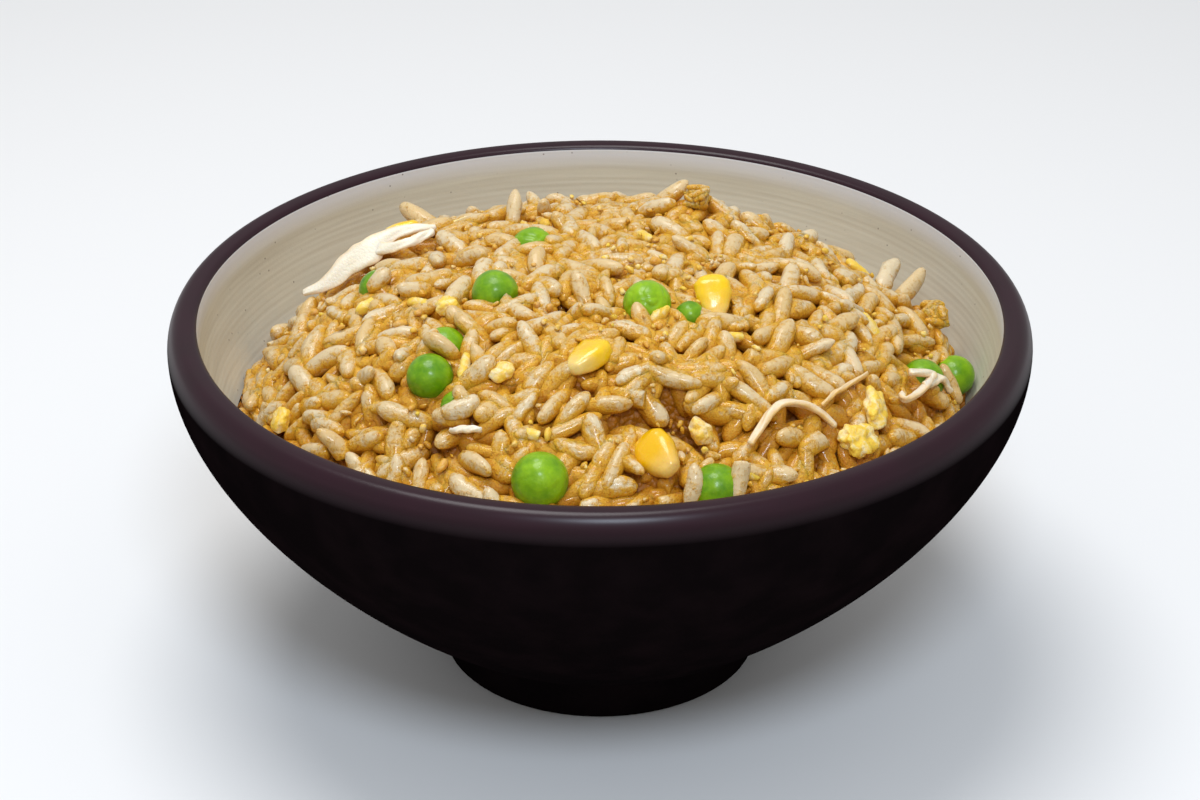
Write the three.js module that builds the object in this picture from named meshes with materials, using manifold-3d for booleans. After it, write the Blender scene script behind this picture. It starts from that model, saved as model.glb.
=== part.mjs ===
// Fried rice in a stoneware bowl, as closed solids in millimetres. +Z is up, and the origin
// is on the table under the middle of the foot.
//
// The bowl is turned about the Z axis. The rice is one heap: a domed core that fills the bowl,
// with single grains fused on. Peas, corn kernels, scrambled egg and chicken shreds are solids
// of their own, and each sits in a socket cut into the core.
import * as THREE from "three";
import { mergeVertices } from "three/addons/utils/BufferGeometryUtils.js";
import Module from "manifold-3d";

const wasm = await Module();
wasm.setup();

// ---- Driving dimensions ----

const BOWL_HEIGHT = 74.2;
const LIP_RADIUS = 82.3; // outermost
const MOUTH_RADIUS = 76.6; // inner edge of the lip
const MOUTH_Z = BOWL_HEIGHT - 0.45;
const LIP_DROP = 5.2; // from the crest to the widest circle
const LIP_CREST_RADIUS = 79.2;
const FOOT_RADIUS = 31.5;
const FOOT_TOP_RADIUS = 33.5;
const FOOT_HEIGHT = 8.8;
const FOOT_EDGE = 0.9; // rounding of the foot's corners
const RECESS_RADIUS = 24; // hollow under the foot
const RECESS_DEPTH = 3;
const BOWL_FLOOR_Z = 12.3; // inside, at the middle
const BOWL_SIDES = 48;

const GAP = 0.35; // between solids that touch
const HEAP_APEX = 9; // above the mouth
const HEAP_FALL = 31; // from the apex to the wall
const HEAP_RADIUS = 71;
const HEAP_POWER = 3.3; // flat on top and steep at the wall
const CORE_DEPTH = 2; // core below the heap's outline
const CORE_BUMPS = 0.8; // rise and fall of the core's skin between grains
const CORE_RINGS = 7;
const CORE_SIDES = 32;

const GRAIN_LENGTH = 9.4;
const GRAIN_WIDTH = 3.4;
const GRAIN_SPACING = 7.4;
const GRAIN_SIDES = 4;
const GRAIN_TRIES = 9000;

// Grains that stand clear of the heap, as end points whose heights count from the mouth.
const STANDING_GRAINS = [
  { from: [55.5, 19, -7.2], to: [59.6, 30, -4.4] }, // two lean towards the wall
  { from: [57.4, 14.6, -7.8], to: [64.9, 25.4, -4.9] },
  { from: [-17.5, 20, 5], to: [-16.6, 27, 12.2] },
  { from: [-30.6, 28.6, 2], to: [-40.6, 37, 4.2] },
  { from: [9.4, 29.4, 6.6], to: [17.7, 31, 11.8] },
];

// Places where the heap stands above or below its plain dome.
const LUMPS = [
  { at: [19, 26], size: [9, 7], rise: 4.5 }, // peak at the back
  { at: [44, 26], size: [16, 11], rise: 2.6 }, // right shoulder
  { at: [58, 19], size: [6, 6], rise: 2 },
  { at: [14, -46], size: [13, 4.5], rise: -4.5 }, // hollow at the front
  { at: [12, -37], size: [18, 5], rise: 1.5 }, // ledge over the hollow
  { at: [-5, -14], size: [6, 4], rise: -2.5 }, // dent in the crown
  { at: [-31, -46], size: [4.5, 4], rise: -3 }, // dark hole at the front left
  { at: [-40, 26], size: [10, 8], rise: 2.8 }, // left shoulder
  { at: [67, 11], size: [8, 9], rise: 7 }, // crisp clump against the wall
  { at: [-2, -30], size: [9, 6], rise: 1 },
];

// ---- Small tools ----

const vec = (x, y, z) => new THREE.Vector3(x, y, z);
const radians = THREE.MathUtils.degToRad;

// A seeded random number from 0 to 1.
function randomSource(seed) {
  let state = seed;
  return () => {
    state = (state + 0x6d2b79f5) | 0;
    let t = Math.imul(state ^ (state >>> 15), 1 | state);
    t = (t + Math.imul(t ^ (t >>> 7), 61 | t)) ^ t;
    return ((t ^ (t >>> 14)) >>> 0) / 4294967296;
  };
}

// A geometry with only its positions, shared vertices merged and flat triangles left out.
function weld(geometry) {
  const bare = geometry.clone();
  bare.deleteAttribute("normal");
  bare.deleteAttribute("uv");
  const merged = mergeVertices(bare, 1e-3);
  const kept = [];
  const index = merged.index.array;
  for (let i = 0; i < index.length; i += 3) {
    const [a, b, c] = index.subarray(i, i + 3);
    if (a !== b && b !== c && a !== c) kept.push(a, b, c);
  }
  merged.setIndex(kept);
  return merged;
}

function toSolid(geometry) {
  const merged = weld(geometry);
  return new wasm.Manifold(
    new wasm.Mesh({
      numProp: 3,
      vertProperties: merged.attributes.position.array,
      triVerts: new Uint32Array(merged.index.array),
    }),
  );
}

function toGeometry(solid) {
  const mesh = solid.getMesh();
  return new THREE.BufferGeometry()
    .setAttribute("position", new THREE.BufferAttribute(mesh.vertProperties, 3))
    .setIndex(new THREE.BufferAttribute(mesh.triVerts, 1));
}

// A closed skin through rings of points. A ring of one point is a tip.
function loft(rings) {
  const points = rings.flat();
  const faces = [];
  let start = 0;
  for (let i = 0; i + 1 < rings.length; i++) {
    const [n, m] = [rings[i].length, rings[i + 1].length];
    const next = start + n;
    for (let j = 0; j < Math.max(n, m); j++) {
      const [a, b] = [start + (j % n), start + ((j + 1) % n)];
      const [c, d] = [next + (j % m), next + ((j + 1) % m)];
      if (n > 1) faces.push(a, b, d);
      if (m > 1) faces.push(a, d, c);
    }
    start = next;
  }
  return new THREE.BufferGeometry().setFromPoints(points).setIndex(faces);
}

// An oval ring round a centre, in the plane of two half axes.
function oval(centre, acrossHalf, upHalf, sides) {
  return Array.from({ length: sides }, (_, j) => {
    const angle = (2 * Math.PI * j) / sides;
    return centre
      .clone()
      .addScaledVector(acrossHalf, Math.cos(angle))
      .addScaledVector(upHalf, Math.sin(angle));
  });
}

// ---- Bowl ----

const innerWall = new THREE.CubicBezierCurve(
  new THREE.Vector2(MOUTH_RADIUS, MOUTH_Z),
  new THREE.Vector2(MOUTH_RADIUS - 0.7, MOUTH_Z - 29),
  new THREE.Vector2(MOUTH_RADIUS * 0.65, BOWL_FLOOR_Z),
  new THREE.Vector2(0, BOWL_FLOOR_Z),
);
const innerWallPoints = innerWall.getPoints(10);

function bowlGeometry() {
  const belly = new THREE.CubicBezierCurve(
    new THREE.Vector2(FOOT_TOP_RADIUS, FOOT_HEIGHT),
    new THREE.Vector2(FOOT_TOP_RADIUS + 23, FOOT_HEIGHT + 14.5),
    new THREE.Vector2(LIP_RADIUS, BOWL_HEIGHT - LIP_DROP - 19),
    new THREE.Vector2(LIP_RADIUS, BOWL_HEIGHT - LIP_DROP),
  );
  const lip = new THREE.EllipseCurve(
    LIP_CREST_RADIUS,
    BOWL_HEIGHT - LIP_DROP,
    LIP_RADIUS - LIP_CREST_RADIUS,
    LIP_DROP,
    0,
    Math.PI / 2,
  );
  const foot = [
    [0, RECESS_DEPTH],
    [RECESS_RADIUS, RECESS_DEPTH],
    [RECESS_RADIUS + FOOT_EDGE, 0],
    [FOOT_RADIUS - FOOT_EDGE, 0],
    [FOOT_RADIUS, FOOT_EDGE],
  ].map(([r, z]) => new THREE.Vector2(r, z));
  const profile = [
    ...foot,
    ...belly.getPoints(7).slice(0, -1),
    ...lip.getPoints(4),
    ...innerWallPoints,
  ];
  return new THREE.LatheGeometry(profile, BOWL_SIDES).rotateX(Math.PI / 2);
}

// ---- Heap ----

const heapEdgeZ = MOUTH_Z + HEAP_APEX - HEAP_FALL;

// Height of the heap's outline over a point of the plan.
function heapTop(x, y) {
  const share = Math.min(Math.hypot(x, y) / HEAP_RADIUS, 1.05);
  let z = MOUTH_Z + HEAP_APEX - HEAP_FALL * share ** HEAP_POWER;
  for (const { at, size, rise } of LUMPS) {
    const [u, v] = [(x - at[0]) / size[0], (y - at[1]) / size[1]];
    z += rise * Math.exp(-u * u - v * v);
  }
  return z;
}

// The way out of the heap's outline over a point of the plan.
function heapNormal(x, y) {
  const step = 1.5;
  const slopeX = (heapTop(x + step, y) - heapTop(x - step, y)) / (2 * step);
  const slopeY = (heapTop(x, y + step) - heapTop(x, y - step)) / (2 * step);
  return vec(-slopeX, -slopeY, 1).normalize();
}

// Radius of the bowl's inner wall at a height.
function wallRadius(z) {
  const i = innerWallPoints.findIndex((p) => p.y < z);
  const [above, below] = [innerWallPoints[i - 1], innerWallPoints[i]];
  const share = (above.y - z) / (above.y - below.y);
  return THREE.MathUtils.lerp(above.x, below.x, share);
}

function circle(radius, zAt) {
  return Array.from({ length: CORE_SIDES }, (_, j) => {
    const angle = (2 * Math.PI * j) / CORE_SIDES;
    const [x, y] = [radius * Math.cos(angle), radius * Math.sin(angle)];
    return vec(x, y, zAt(x, y));
  });
}

function coreGeometry() {
  const random = randomSource(5);
  const top = (x, y) => heapTop(x, y) - CORE_DEPTH + CORE_BUMPS * (2 * random() - 1);
  const edgeRadius = wallRadius(heapEdgeZ - CORE_DEPTH) - GAP;
  const under = innerWallPoints
    .filter((p) => p.y < heapEdgeZ - 2 * CORE_DEPTH && p.x > 10)
    .reverse()
    .map((p) => circle(p.x - GAP, () => p.y + GAP));
  const over = Array.from({ length: CORE_RINGS }, (_, i) =>
    circle((edgeRadius * (CORE_RINGS - i)) / CORE_RINGS, top),
  );
  const floor = vec(0, 0, BOWL_FLOOR_Z + GAP);
  return loft([[floor], ...under, ...over, [vec(0, 0, top(0, 0))]]);
}

// A cooked grain lying along X, with blunt ends and a slight bend.
function grainGeometry(length, width, bend) {
  const across = vec(0, width / 2, 0);
  const up = vec(0, 0, width / 2.2);
  const at = (share, drop) => vec(share * length, 0, -drop * bend * length);
  return loft([
    [at(-0.5, 1)],
    oval(at(-0.3, 0.3), across, up, GRAIN_SIDES),
    oval(at(0.3, 0.3), across, up, GRAIN_SIDES),
    [at(0.5, 1)],
  ]);
}

// Turns a geometry's X axis along the heap at an angle, tips it up, and sets it down at (x, y).
function layOnHeap(geometry, x, y, { turn = 0, tip = 0, roll = 0, lift = 0 }) {
  const up = heapNormal(x, y);
  const along = vec(Math.cos(radians(turn)), Math.sin(radians(turn)), 0);
  along.addScaledVector(up, -along.dot(up)).normalize();
  const across = new THREE.Vector3().crossVectors(up, along);
  const frame = new THREE.Matrix4().makeBasis(along, across, up);
  const spin = new THREE.Matrix4().makeRotationFromEuler(
    new THREE.Euler(radians(roll), -radians(tip), 0, "YXZ"),
  );
  const place = vec(x, y, heapTop(x, y)).addScaledVector(up, lift);
  return geometry.clone().applyMatrix4(frame.multiply(spin).setPosition(place));
}

function standingGrain(from, to) {
  const ends = [from, to].map(([x, y, z]) => vec(x, y, MOUTH_Z + z));
  const along = ends[1].clone().sub(ends[0]);
  const grain = grainGeometry(along.length(), GRAIN_WIDTH, 0.03);
  const turn = new THREE.Quaternion().setFromUnitVectors(vec(1, 0, 0), along.normalize());
  grain.applyQuaternion(turn);
  return toSolid(grain.translate(...ends[0].lerp(ends[1], 0.5)));
}

// Grains spread evenly over the heap, each clear of the bowl and of what lies on the rice.
function grainSolids(obstacles) {
  const random = randomSource(11);
  const between = (low, high) => low + (high - low) * random();
  const taken = STANDING_GRAINS.map(({ from }) => from);
  const grains = STANDING_GRAINS.map(({ from, to }) => standingGrain(from, to));
  for (let i = 0; i < GRAIN_TRIES; i++) {
    const radius = (HEAP_RADIUS - 1) * Math.sqrt(random());
    const angle = between(0, 2 * Math.PI);
    const [x, y] = [radius * Math.cos(angle), radius * Math.sin(angle)];
    const pose = {
      turn: between(0, 180),
      tip: between(-22, 22),
      lift: between(-1.9, -1.1),
    };
    const size = [GRAIN_LENGTH * between(0.75, 1.15), GRAIN_WIDTH * between(0.88, 1.1)];
    const bend = between(-0.02, 0.07);
    if (taken.some(([a, b]) => Math.hypot(x - a, y - b) < GRAIN_SPACING)) continue;
    const swollen = grainGeometry(size[0] + 2 * GAP, size[1] + 2 * GAP, bend);
    if (!toSolid(layOnHeap(swollen, x, y, pose)).intersect(obstacles).isEmpty()) continue;
    grains.push(toSolid(layOnHeap(grainGeometry(...size, bend), x, y, pose)));
    taken.push([x, y]);
  }
  return grains;
}

// ---- What lies on the rice ----

// Each entry is { at: [x, y], ... }. grow swells a piece evenly, for the socket that it sits in.

const PEAS = {
  pea_crown: { at: [-13, 11.5], radius: 4.3, lift: -2.6 },
  pea_left_crown: { at: [-19.6, -10], radius: 4.3, lift: -1.2 },
  pea_middle: { at: [8.7, -16], radius: 4.4, lift: -0.8 },
  pea_beside_corn: { at: [16.6, -18.3], radius: 2.8, lift: -1.6 },
  pea_left: { at: [-30.7, -33], radius: 4.2, lift: -0.6 },
  pea_left_covered: { at: [-28.4, -24.2], radius: 4, lift: -2.6 },
  pea_left_small: { at: [-25.6, -39.8], radius: 2.9, lift: -1.8 },
  pea_front_left: { at: [-10.5, -56], radius: 5, lift: -0.9 },
  pea_front_right: { at: [20.4, -55.2], radius: 4.5, lift: -1.4 },
  pea_right: { at: [61.4, -8], radius: 4.2, lift: -1.8 },
  pea_right_wall: { at: [68.8, 1.5], radius: 3.9, lift: 0.6 },
  pea_far_left: { at: [-42.6, 5.6], radius: 3.8, lift: -2.7 },
};

const KERNELS = {
  corn_middle: { at: [-2.3, -35], turn: 235, tip: 10, roll: 25, size: 1, lift: -0.9 },
  corn_crown: { at: [21.2, -13], turn: 282, tip: -38, roll: 10, size: 0.95, lift: -0.4 },
  corn_back_left: { at: [-39.2, 27], turn: 200, tip: 12, roll: 0, size: 0.75, lift: -0.2 },
  corn_front: { at: [10.2, -52.4], turn: 300, tip: 12, roll: 40, size: 1.05, lift: -0.4 },
};

const CRUMBS = {
  egg_crumb_left: { at: [-28.5, -14.6], size: [5, 4.4, 3.6], turn: 20, seed: 3 },
  egg_crumb_rim: { at: [-59.2, -23.4], size: [5.4, 4.6, 3.6], turn: 60, seed: 4 },
  egg_chunk_right: { at: [46.6, -38], size: [8.2, 6.2, 5], turn: 12, seed: 5 },
  egg_curd_right: { at: [50.4, -30.2], size: [7.6, 4.6, 4.2], turn: 300, seed: 6 },
  egg_crumb_front: { at: [17.8, -44.8], size: [5.4, 4.2, 3.8], turn: 110, seed: 7 },
  egg_crumb_middle: { at: [-17.6, -36.4], size: [4.8, 4, 3], turn: 30, seed: 8 },
  crust_peak: { at: [19, 24.6], size: [8, 6.4, 5.4], turn: 340, seed: 9 },
  crust_right: { at: [65.2, 13], size: [10, 6.6, 6], turn: 100, seed: 10, lift: 0.6 },
};

// Strips run through points [x, y, lift, breadth], and some fork into a second arm.
const STRIPS = {
  chicken_shred_long: {
    thickness: 1.4,
    arms: [
      [
        [-58.6, 15.6, 4, 1.4],
        [-54, 15, 1.9, 3.4],
        [-49.6, 16, 1.9, 4.6],
        [-45.8, 17, 1.7, 5.4],
        [-41.6, 19.8, 1.7, 3],
        [-36.6, 21, 1.1, 2.2],
        [-32, 20, 0.9, 1.4],
      ],
      [
        [-43.8, 17.6, 1.6, 3.2],
        [-39, 15.6, 1.1, 2.2],
        [-35.2, 16.6, 1, 2.1],
        [-32.6, 18.6, 0.9, 1.5],
      ],
    ],
  },
  chicken_shred_curl: {
    thickness: 1.3,
    arms: [
      [
        [53.4, -18.4, 1.3, 1.6],
        [55.4, -22, 1.4, 1.8],
        [59, -21.4, 1.8, 2],
        [61.6, -17.4, 3, 2],
        [64.4, -13.8, 4, 2.2],
        [66.8, -12.6, 4, 1.6],
      ],
    ],
  },
  chicken_sliver_front: {
    thickness: 1.1,
    arms: [
      [
        [-26.6, -47, 0.8, 1],
        [-23.6, -47.2, 1.2, 1.7],
        [-20.6, -46.8, 0.8, 1],
      ],
    ],
  },
  egg_ribbon_front: {
    thickness: 1.2,
    arms: [
      [
        [42.6, -38.4, 0.3, 1.5],
        [39.4, -37.8, 0.8, 2],
        [36, -38.2, 1.1, 2.2],
        [32.6, -39.8, 1.1, 2.2],
        [30.2, -42, 0.9, 2],
        [28.4, -44.6, 0.9, 1.8],
        [26.4, -47.2, 0.6, 1.4],
      ],
    ],
  },
  egg_ribbon_right: {
    thickness: 1.2,
    arms: [
      [
        [40.4, -35.5, 0.6, 1.4],
        [43.4, -31, 1, 1.7],
        [46.4, -26.6, 1.3, 1.7],
        [49.4, -22.2, 1, 1.6],
      ],
    ],
  },
};

function peaGeometry({ at, radius, lift }, grow = 0) {
  const ball = new THREE.IcosahedronGeometry(radius + grow, 1).scale(1.02, 1.02, 0.97);
  return ball.translate(at[0], at[1], heapTop(...at) + lift);
}

// A kernel along X: a broad rounded crown at one end and a narrow tip at the other.
function kernelGeometry({ at, size, ...pose }, grow = 0) {
  const sections = [
    [-4.2, 5.2, 3],
    [-2.8, 7.2, 4.4],
    [-0.4, 7.4, 4.6],
    [2.4, 5.4, 3.8],
    [4.4, 3.2, 2.6],
  ];
  const rings = sections.map(([along, breadth, height]) =>
    oval(
      vec(along * size, 0, 0),
      vec(0, (breadth / 2) * size + grow, 0),
      vec(0, 0, (height / 2) * size + grow),
      8,
    ),
  );
  const ends = [-4.9 * size - grow, 5 * size + grow].map((x) => [vec(x, 0, 0)]);
  return layOnHeap(loft([ends[0], ...rings, ends[1]]), ...at, pose);
}

// A lumpy curd: a ball pressed in and out by a few smooth waves.
function crumbGeometry({ at, size, turn, seed, lift = 0 }, grow = 0) {
  const random = randomSource(seed);
  const waves = Array.from({ length: 5 }, () => ({
    way: vec(random() - 0.5, random() - 0.5, random() - 0.5).setLength(3.2),
    phase: 6.28 * random(),
  }));
  const ball = new THREE.IcosahedronGeometry(1, 1);
  const position = ball.attributes.position;
  const point = new THREE.Vector3();
  for (let i = 0; i < position.count; i++) {
    point.fromBufferAttribute(position, i);
    const swell = waves.reduce((sum, w) => sum + Math.sin(point.dot(w.way) + w.phase), 0);
    const reach = 1 + 0.07 * swell;
    const [x, y, z] = size.map((s) => (s / 2) * reach + grow);
    position.setXYZ(i, point.x * x, point.y * y, point.z * z);
  }
  return layOnHeap(ball, ...at, { turn, lift });
}

// One arm of a strip: an oval section that narrows at both ends and follows the heap.
function armGeometry(through, thickness, grow) {
  const curve = new THREE.CatmullRomCurve3(
    through.map(([x, y, lift]) => vec(x, y, heapTop(x, y) + lift)),
  );
  const breadths = new THREE.SplineCurve(
    through.map(([, , , breadth]) => new THREE.Vector2(breadth, 0)),
  );
  const steps = 3 * (through.length - 1);
  const rings = [];
  for (let i = 1; i < steps; i++) {
    const centre = curve.getPoint(i / steps);
    const tangent = curve.getTangent(i / steps);
    const across = new THREE.Vector3().crossVectors(vec(0, 0, 1), tangent).normalize();
    const up = new THREE.Vector3().crossVectors(tangent, across);
    across.multiplyScalar(breadths.getPoint(i / steps).x / 2 + grow);
    up.multiplyScalar(thickness / 2 + grow);
    rings.push(oval(centre, across, up, 6));
  }
  const ends = [0, 1].map((share) => {
    const outward = curve.getTangent(share).multiplyScalar(share ? grow : -grow);
    return [curve.getPoint(share).add(outward)];
  });
  return loft([ends[0], ...rings, ends[1]]);
}

function stripGeometry({ arms, thickness }, grow = 0) {
  const solids = arms.map((arm) => toSolid(armGeometry(arm, thickness, grow)));
  return toGeometry(wasm.Manifold.union(solids));
}

// ---- Assembly ----

const MATERIALS = {
  stoneware: { color: 0x2a2023, roughness: 0.42 },
  rice: { color: 0xd9b06a, roughness: 0.5 },
  pea: { color: 0x6fa51e, roughness: 0.35 },
  corn: { color: 0xf2c51c, roughness: 0.3 },
  egg: { color: 0xecc765, roughness: 0.5 },
  crust: { color: 0xc98a2e, roughness: 0.6 },
  chicken: { color: 0xeee2cc, roughness: 0.55 },
};

const materials = Object.fromEntries(
  Object.entries(MATERIALS).map(([name, look]) => [
    name,
    new THREE.MeshStandardMaterial({ ...look, metalness: 0 }),
  ]),
);

const dish = new THREE.Group();

function addPart(name, geometry, material) {
  const mesh = new THREE.Mesh(geometry, materials[material]);
  mesh.name = name;
  dish.add(mesh);
}

const toppings = [
  [PEAS, peaGeometry, () => "pea"],
  [KERNELS, kernelGeometry, () => "corn"],
  [CRUMBS, crumbGeometry, (name) => (name.startsWith("egg") ? "egg" : "crust")],
  [STRIPS, stripGeometry, (name) => (name.startsWith("egg") ? "egg" : "chicken")],
].flatMap(([entries, build, materialOf]) =>
  Object.entries(entries).map(([name, entry]) => ({
    name,
    material: materialOf(name),
    piece: build(entry),
    socket: build(entry, GAP),
  })),
);

function heapSolid(bowl) {
  const sockets = wasm.Manifold.union(toppings.map(({ socket }) => toSolid(socket)));
  const core = toSolid(coreGeometry()).subtract(sockets);
  const grains = grainSolids(sockets.add(bowl));
  const fused = wasm.Manifold.union([core, ...grains]);
  // The largest body, so a loose scrap is dropped and a sealed hollow is filled.
  return fused.decompose().reduce((a, b) => (a.volume() > b.volume() ? a : b));
}

const bowl = bowlGeometry();
addPart("bowl", bowl, "stoneware");
addPart("rice_heap", toGeometry(heapSolid(toSolid(bowl))), "rice");
toppings.forEach(({ name, piece, material }) => addPart(name, piece, material));

export default dish;
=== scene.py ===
"""A footed stoneware bowl of fried rice, with peas, sweetcorn, scrambled egg and pale shreds.

The file is laid out as an add-on and is run as a script. Sizes of the bowl and the food are
millimetres in the model's own frame: +Z is up, and the origin is on the table under the middle
of the foot. Places and sizes of the lights and the camera are metres.
"""

import math

import bmesh
import bpy
import numpy as np
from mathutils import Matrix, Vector, kdtree, noise


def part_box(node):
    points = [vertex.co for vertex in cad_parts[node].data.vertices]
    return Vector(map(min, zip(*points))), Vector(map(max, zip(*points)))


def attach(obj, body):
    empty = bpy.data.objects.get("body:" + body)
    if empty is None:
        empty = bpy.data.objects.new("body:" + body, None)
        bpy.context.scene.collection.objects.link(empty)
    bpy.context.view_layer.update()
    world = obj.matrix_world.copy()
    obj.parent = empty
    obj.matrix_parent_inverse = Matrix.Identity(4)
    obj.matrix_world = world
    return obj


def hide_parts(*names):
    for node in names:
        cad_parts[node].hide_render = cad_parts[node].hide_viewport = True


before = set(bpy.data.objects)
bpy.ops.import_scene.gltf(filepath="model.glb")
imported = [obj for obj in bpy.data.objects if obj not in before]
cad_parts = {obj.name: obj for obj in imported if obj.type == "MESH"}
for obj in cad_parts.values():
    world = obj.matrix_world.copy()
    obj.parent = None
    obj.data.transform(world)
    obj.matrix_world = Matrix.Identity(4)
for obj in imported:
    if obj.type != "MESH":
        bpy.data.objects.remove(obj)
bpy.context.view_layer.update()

bl_info = {
    "name": "Bowl of Fried Rice",
    "version": (1, 0, 0),
    "blender": (4, 5, 0),
    "location": "View3D > Sidebar > Fried Rice",
    "description": "Builds a footed stoneware bowl filled with fried rice and its toppings",
    "category": "Add Mesh",
}

MM = 0.001
BODY = "root"


# ---- Sizes shared with the solids ----


def box_mm(node):
    """Lowest and highest corner of a solid, in millimetres."""
    low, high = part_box(node)
    return np.array(low) / MM, np.array(high) / MM


def place_of(node):
    """Centre of a solid, and half its breadth."""
    low, high = box_mm(node)
    return (low + high) / 2, (high[0] - low[0]) / 2


BOWL_HIGH = box_mm("bowl")[1]
BOWL_HEIGHT = float(BOWL_HIGH[2])
LIP_RADIUS = float(BOWL_HIGH[0])
MOUTH_RADIUS = LIP_RADIUS - 5.7
MOUTH_Z = BOWL_HEIGHT - 0.45
LIP_DROP = 5.2
LIP_CREST_RADIUS = LIP_RADIUS - 3.1
FOOT_RADIUS = 31.5
FOOT_TOP_RADIUS = 33.5
FOOT_HEIGHT = 8.8
FOOT_EDGE = 0.9
RECESS_RADIUS = 24.0
RECESS_DEPTH = 3.0
BOWL_FLOOR_Z = 12.3
WALL_GAP = 0.35  # between the wall and what lies on it

HEAP_APEX = 9.0
HEAP_FALL = 31.0
HEAP_RADIUS = 71.0
HEAP_POWER = 3.3
LUMPS = (  # (x, y), (breadth, depth), rise
    ((19, 26), (9, 7), 4.5),
    ((44, 26), (16, 11), 2.6),
    ((58, 19), (6, 6), 2),
    ((14, -46), (13, 4.5), -4.5),
    ((12, -37), (18, 5), 1.5),
    ((-5, -14), (6, 4), -2.5),
    ((-31, -46), (4.5, 4), -3),
    ((-40, 26), (10, 8), 2.8),
    ((67, 11), (8, 9), 7),
    ((-2, -30), (9, 6), 1),
)
HOLLOWS = (  # x, y, radius of dark holes between the grains
    (13, -43, 3),
    (-56.8, -13.4, 2.2),
    (-31.2, -44.3, 2.4),
)
SAUCE_AND_SHADE_PATCH = (8, -36), (30, 20)  # middle and reach of more sauce, which also paints the shade round the front hollow
STANDING_GRAINS = (  # end points, whose heights count from the mouth
    ((55.5, 19, -7.2), (59.6, 30, -4.4)),
    ((57.4, 14.6, -7.8), (64.9, 25.4, -4.9)),
    ((-17.5, 20, 5), (-16.6, 27, 12.2)),
    ((-30.6, 28.6, 2), (-40.6, 37, 4.2)),
    ((9.4, 29.4, 6.6), (17.7, 31, 11.8)),
)


def bezier(points, count):
    """Points along a cubic Bezier curve."""
    t = np.linspace(0, 1, count)[:, None]
    a, b, c, d = (np.array(p, float) for p in points)
    return (1 - t) ** 3 * a + 3 * (1 - t) ** 2 * t * b + 3 * (1 - t) * t**2 * c + t**3 * d


INNER_WALL = bezier(
    (
        (MOUTH_RADIUS, MOUTH_Z),
        (MOUTH_RADIUS - 0.7, MOUTH_Z - 29),
        (MOUTH_RADIUS * 0.65, BOWL_FLOOR_Z),
        (0, BOWL_FLOOR_Z),
    ),
    220,
)


def wall_height(radius):
    """Height of the bowl's inside at a radius."""
    r, z = INNER_WALL[::-1].T
    return np.interp(radius, r, z, right=MOUTH_Z)


def wall_radius(z):
    """Radius of the bowl's inside at a height."""
    r, wall_z = INNER_WALL[::-1].T
    return np.interp(z, wall_z, r)


def heap_top(x, y):
    """Height of the heap's outline over a point of the plan."""
    share = np.minimum(np.hypot(x, y) / HEAP_RADIUS, 1.05)
    z = MOUTH_Z + HEAP_APEX - HEAP_FALL * share**HEAP_POWER
    for (at_x, at_y), (breadth, depth), rise in LUMPS:
        z = z + rise * np.exp(-(((x - at_x) / breadth) ** 2) - ((y - at_y) / depth) ** 2)
    return z


def heap_normal(x, y):
    """The way out of the heap's outline over a point of the plan."""
    step = 1.5
    slope_x = (heap_top(x + step, y) - heap_top(x - step, y)) / (2 * step)
    slope_y = (heap_top(x, y + step) - heap_top(x, y - step)) / (2 * step)
    normal = np.array((-slope_x, -slope_y, 1))
    return Vector(normal / np.linalg.norm(normal))


# ---- Colours ----


def srgb(red, green, blue):
    """A colour given as eight-bit sRGB, in the linear values that shaders use."""
    values = (v / 255 for v in (red, green, blue))
    return tuple(v / 12.92 if v <= 0.04045 else ((v + 0.055) / 1.055) ** 2.4 for v in values)


# ---- Settings ----


def colour_setting(name, description, default):
    """A colour, given in linear values."""
    return bpy.props.FloatVectorProperty(
        name=name, description=description, default=default, subtype="COLOR", min=0, max=1
    )


def length_setting(name, description, millimetres):
    """A length, which is kept in metres."""
    return bpy.props.FloatProperty(
        name=name, description=description, default=millimetres * MM, unit="LENGTH", min=0
    )


class BowlSettings(bpy.types.PropertyGroup):
    outside: colour_setting("Outside glaze", "Dark glaze of the belly", srgb(13, 9, 10))
    lip: colour_setting("Lip glaze", "Dark glaze where it thins over the lip", srgb(42, 18, 28))
    inside: colour_setting("Inside glaze", "Beige glaze of the inner wall", srgb(210, 206, 188))
    band: colour_setting("Mouth band", "Pale ring just under the lip", srgb(222, 224, 226))
    ring_pitch: length_setting("Ring pitch", "Distance between two throwing rings", 1.25)
    ring_depth: length_setting("Ring depth", "Depth of a throwing ring", 0.05)


class RiceSettings(bpy.types.PropertyGroup):
    pale: colour_setting("Pale rice", "Inside of a grain with little sauce", srgb(222, 204, 168))
    # Golden is also painted as warm shade on the grains' flanks and in the gaps.
    golden: colour_setting("Golden rice", "Grain coated in sauce and oil", srgb(224, 171, 46))
    # Browned is also painted as shade deep in the gaps, and colours the core.
    browned: colour_setting("Browned rice", "Fried edges and spots", srgb(184, 112, 0))
    grain_length: length_setting("Grain length", "Length of an average grain", 11)
    grain_width: length_setting("Grain width", "Width of an average grain", 3.85)
    cover: length_setting("Cover", "Depth of loose grains over the core", 6.5)
    granules: bpy.props.IntProperty(
        name="Granules", description="How many places are tried for a crumb", default=1000, min=1
    )
    seed: bpy.props.IntProperty(name="Seed", description="Seed of the scatter", default=7)


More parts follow.
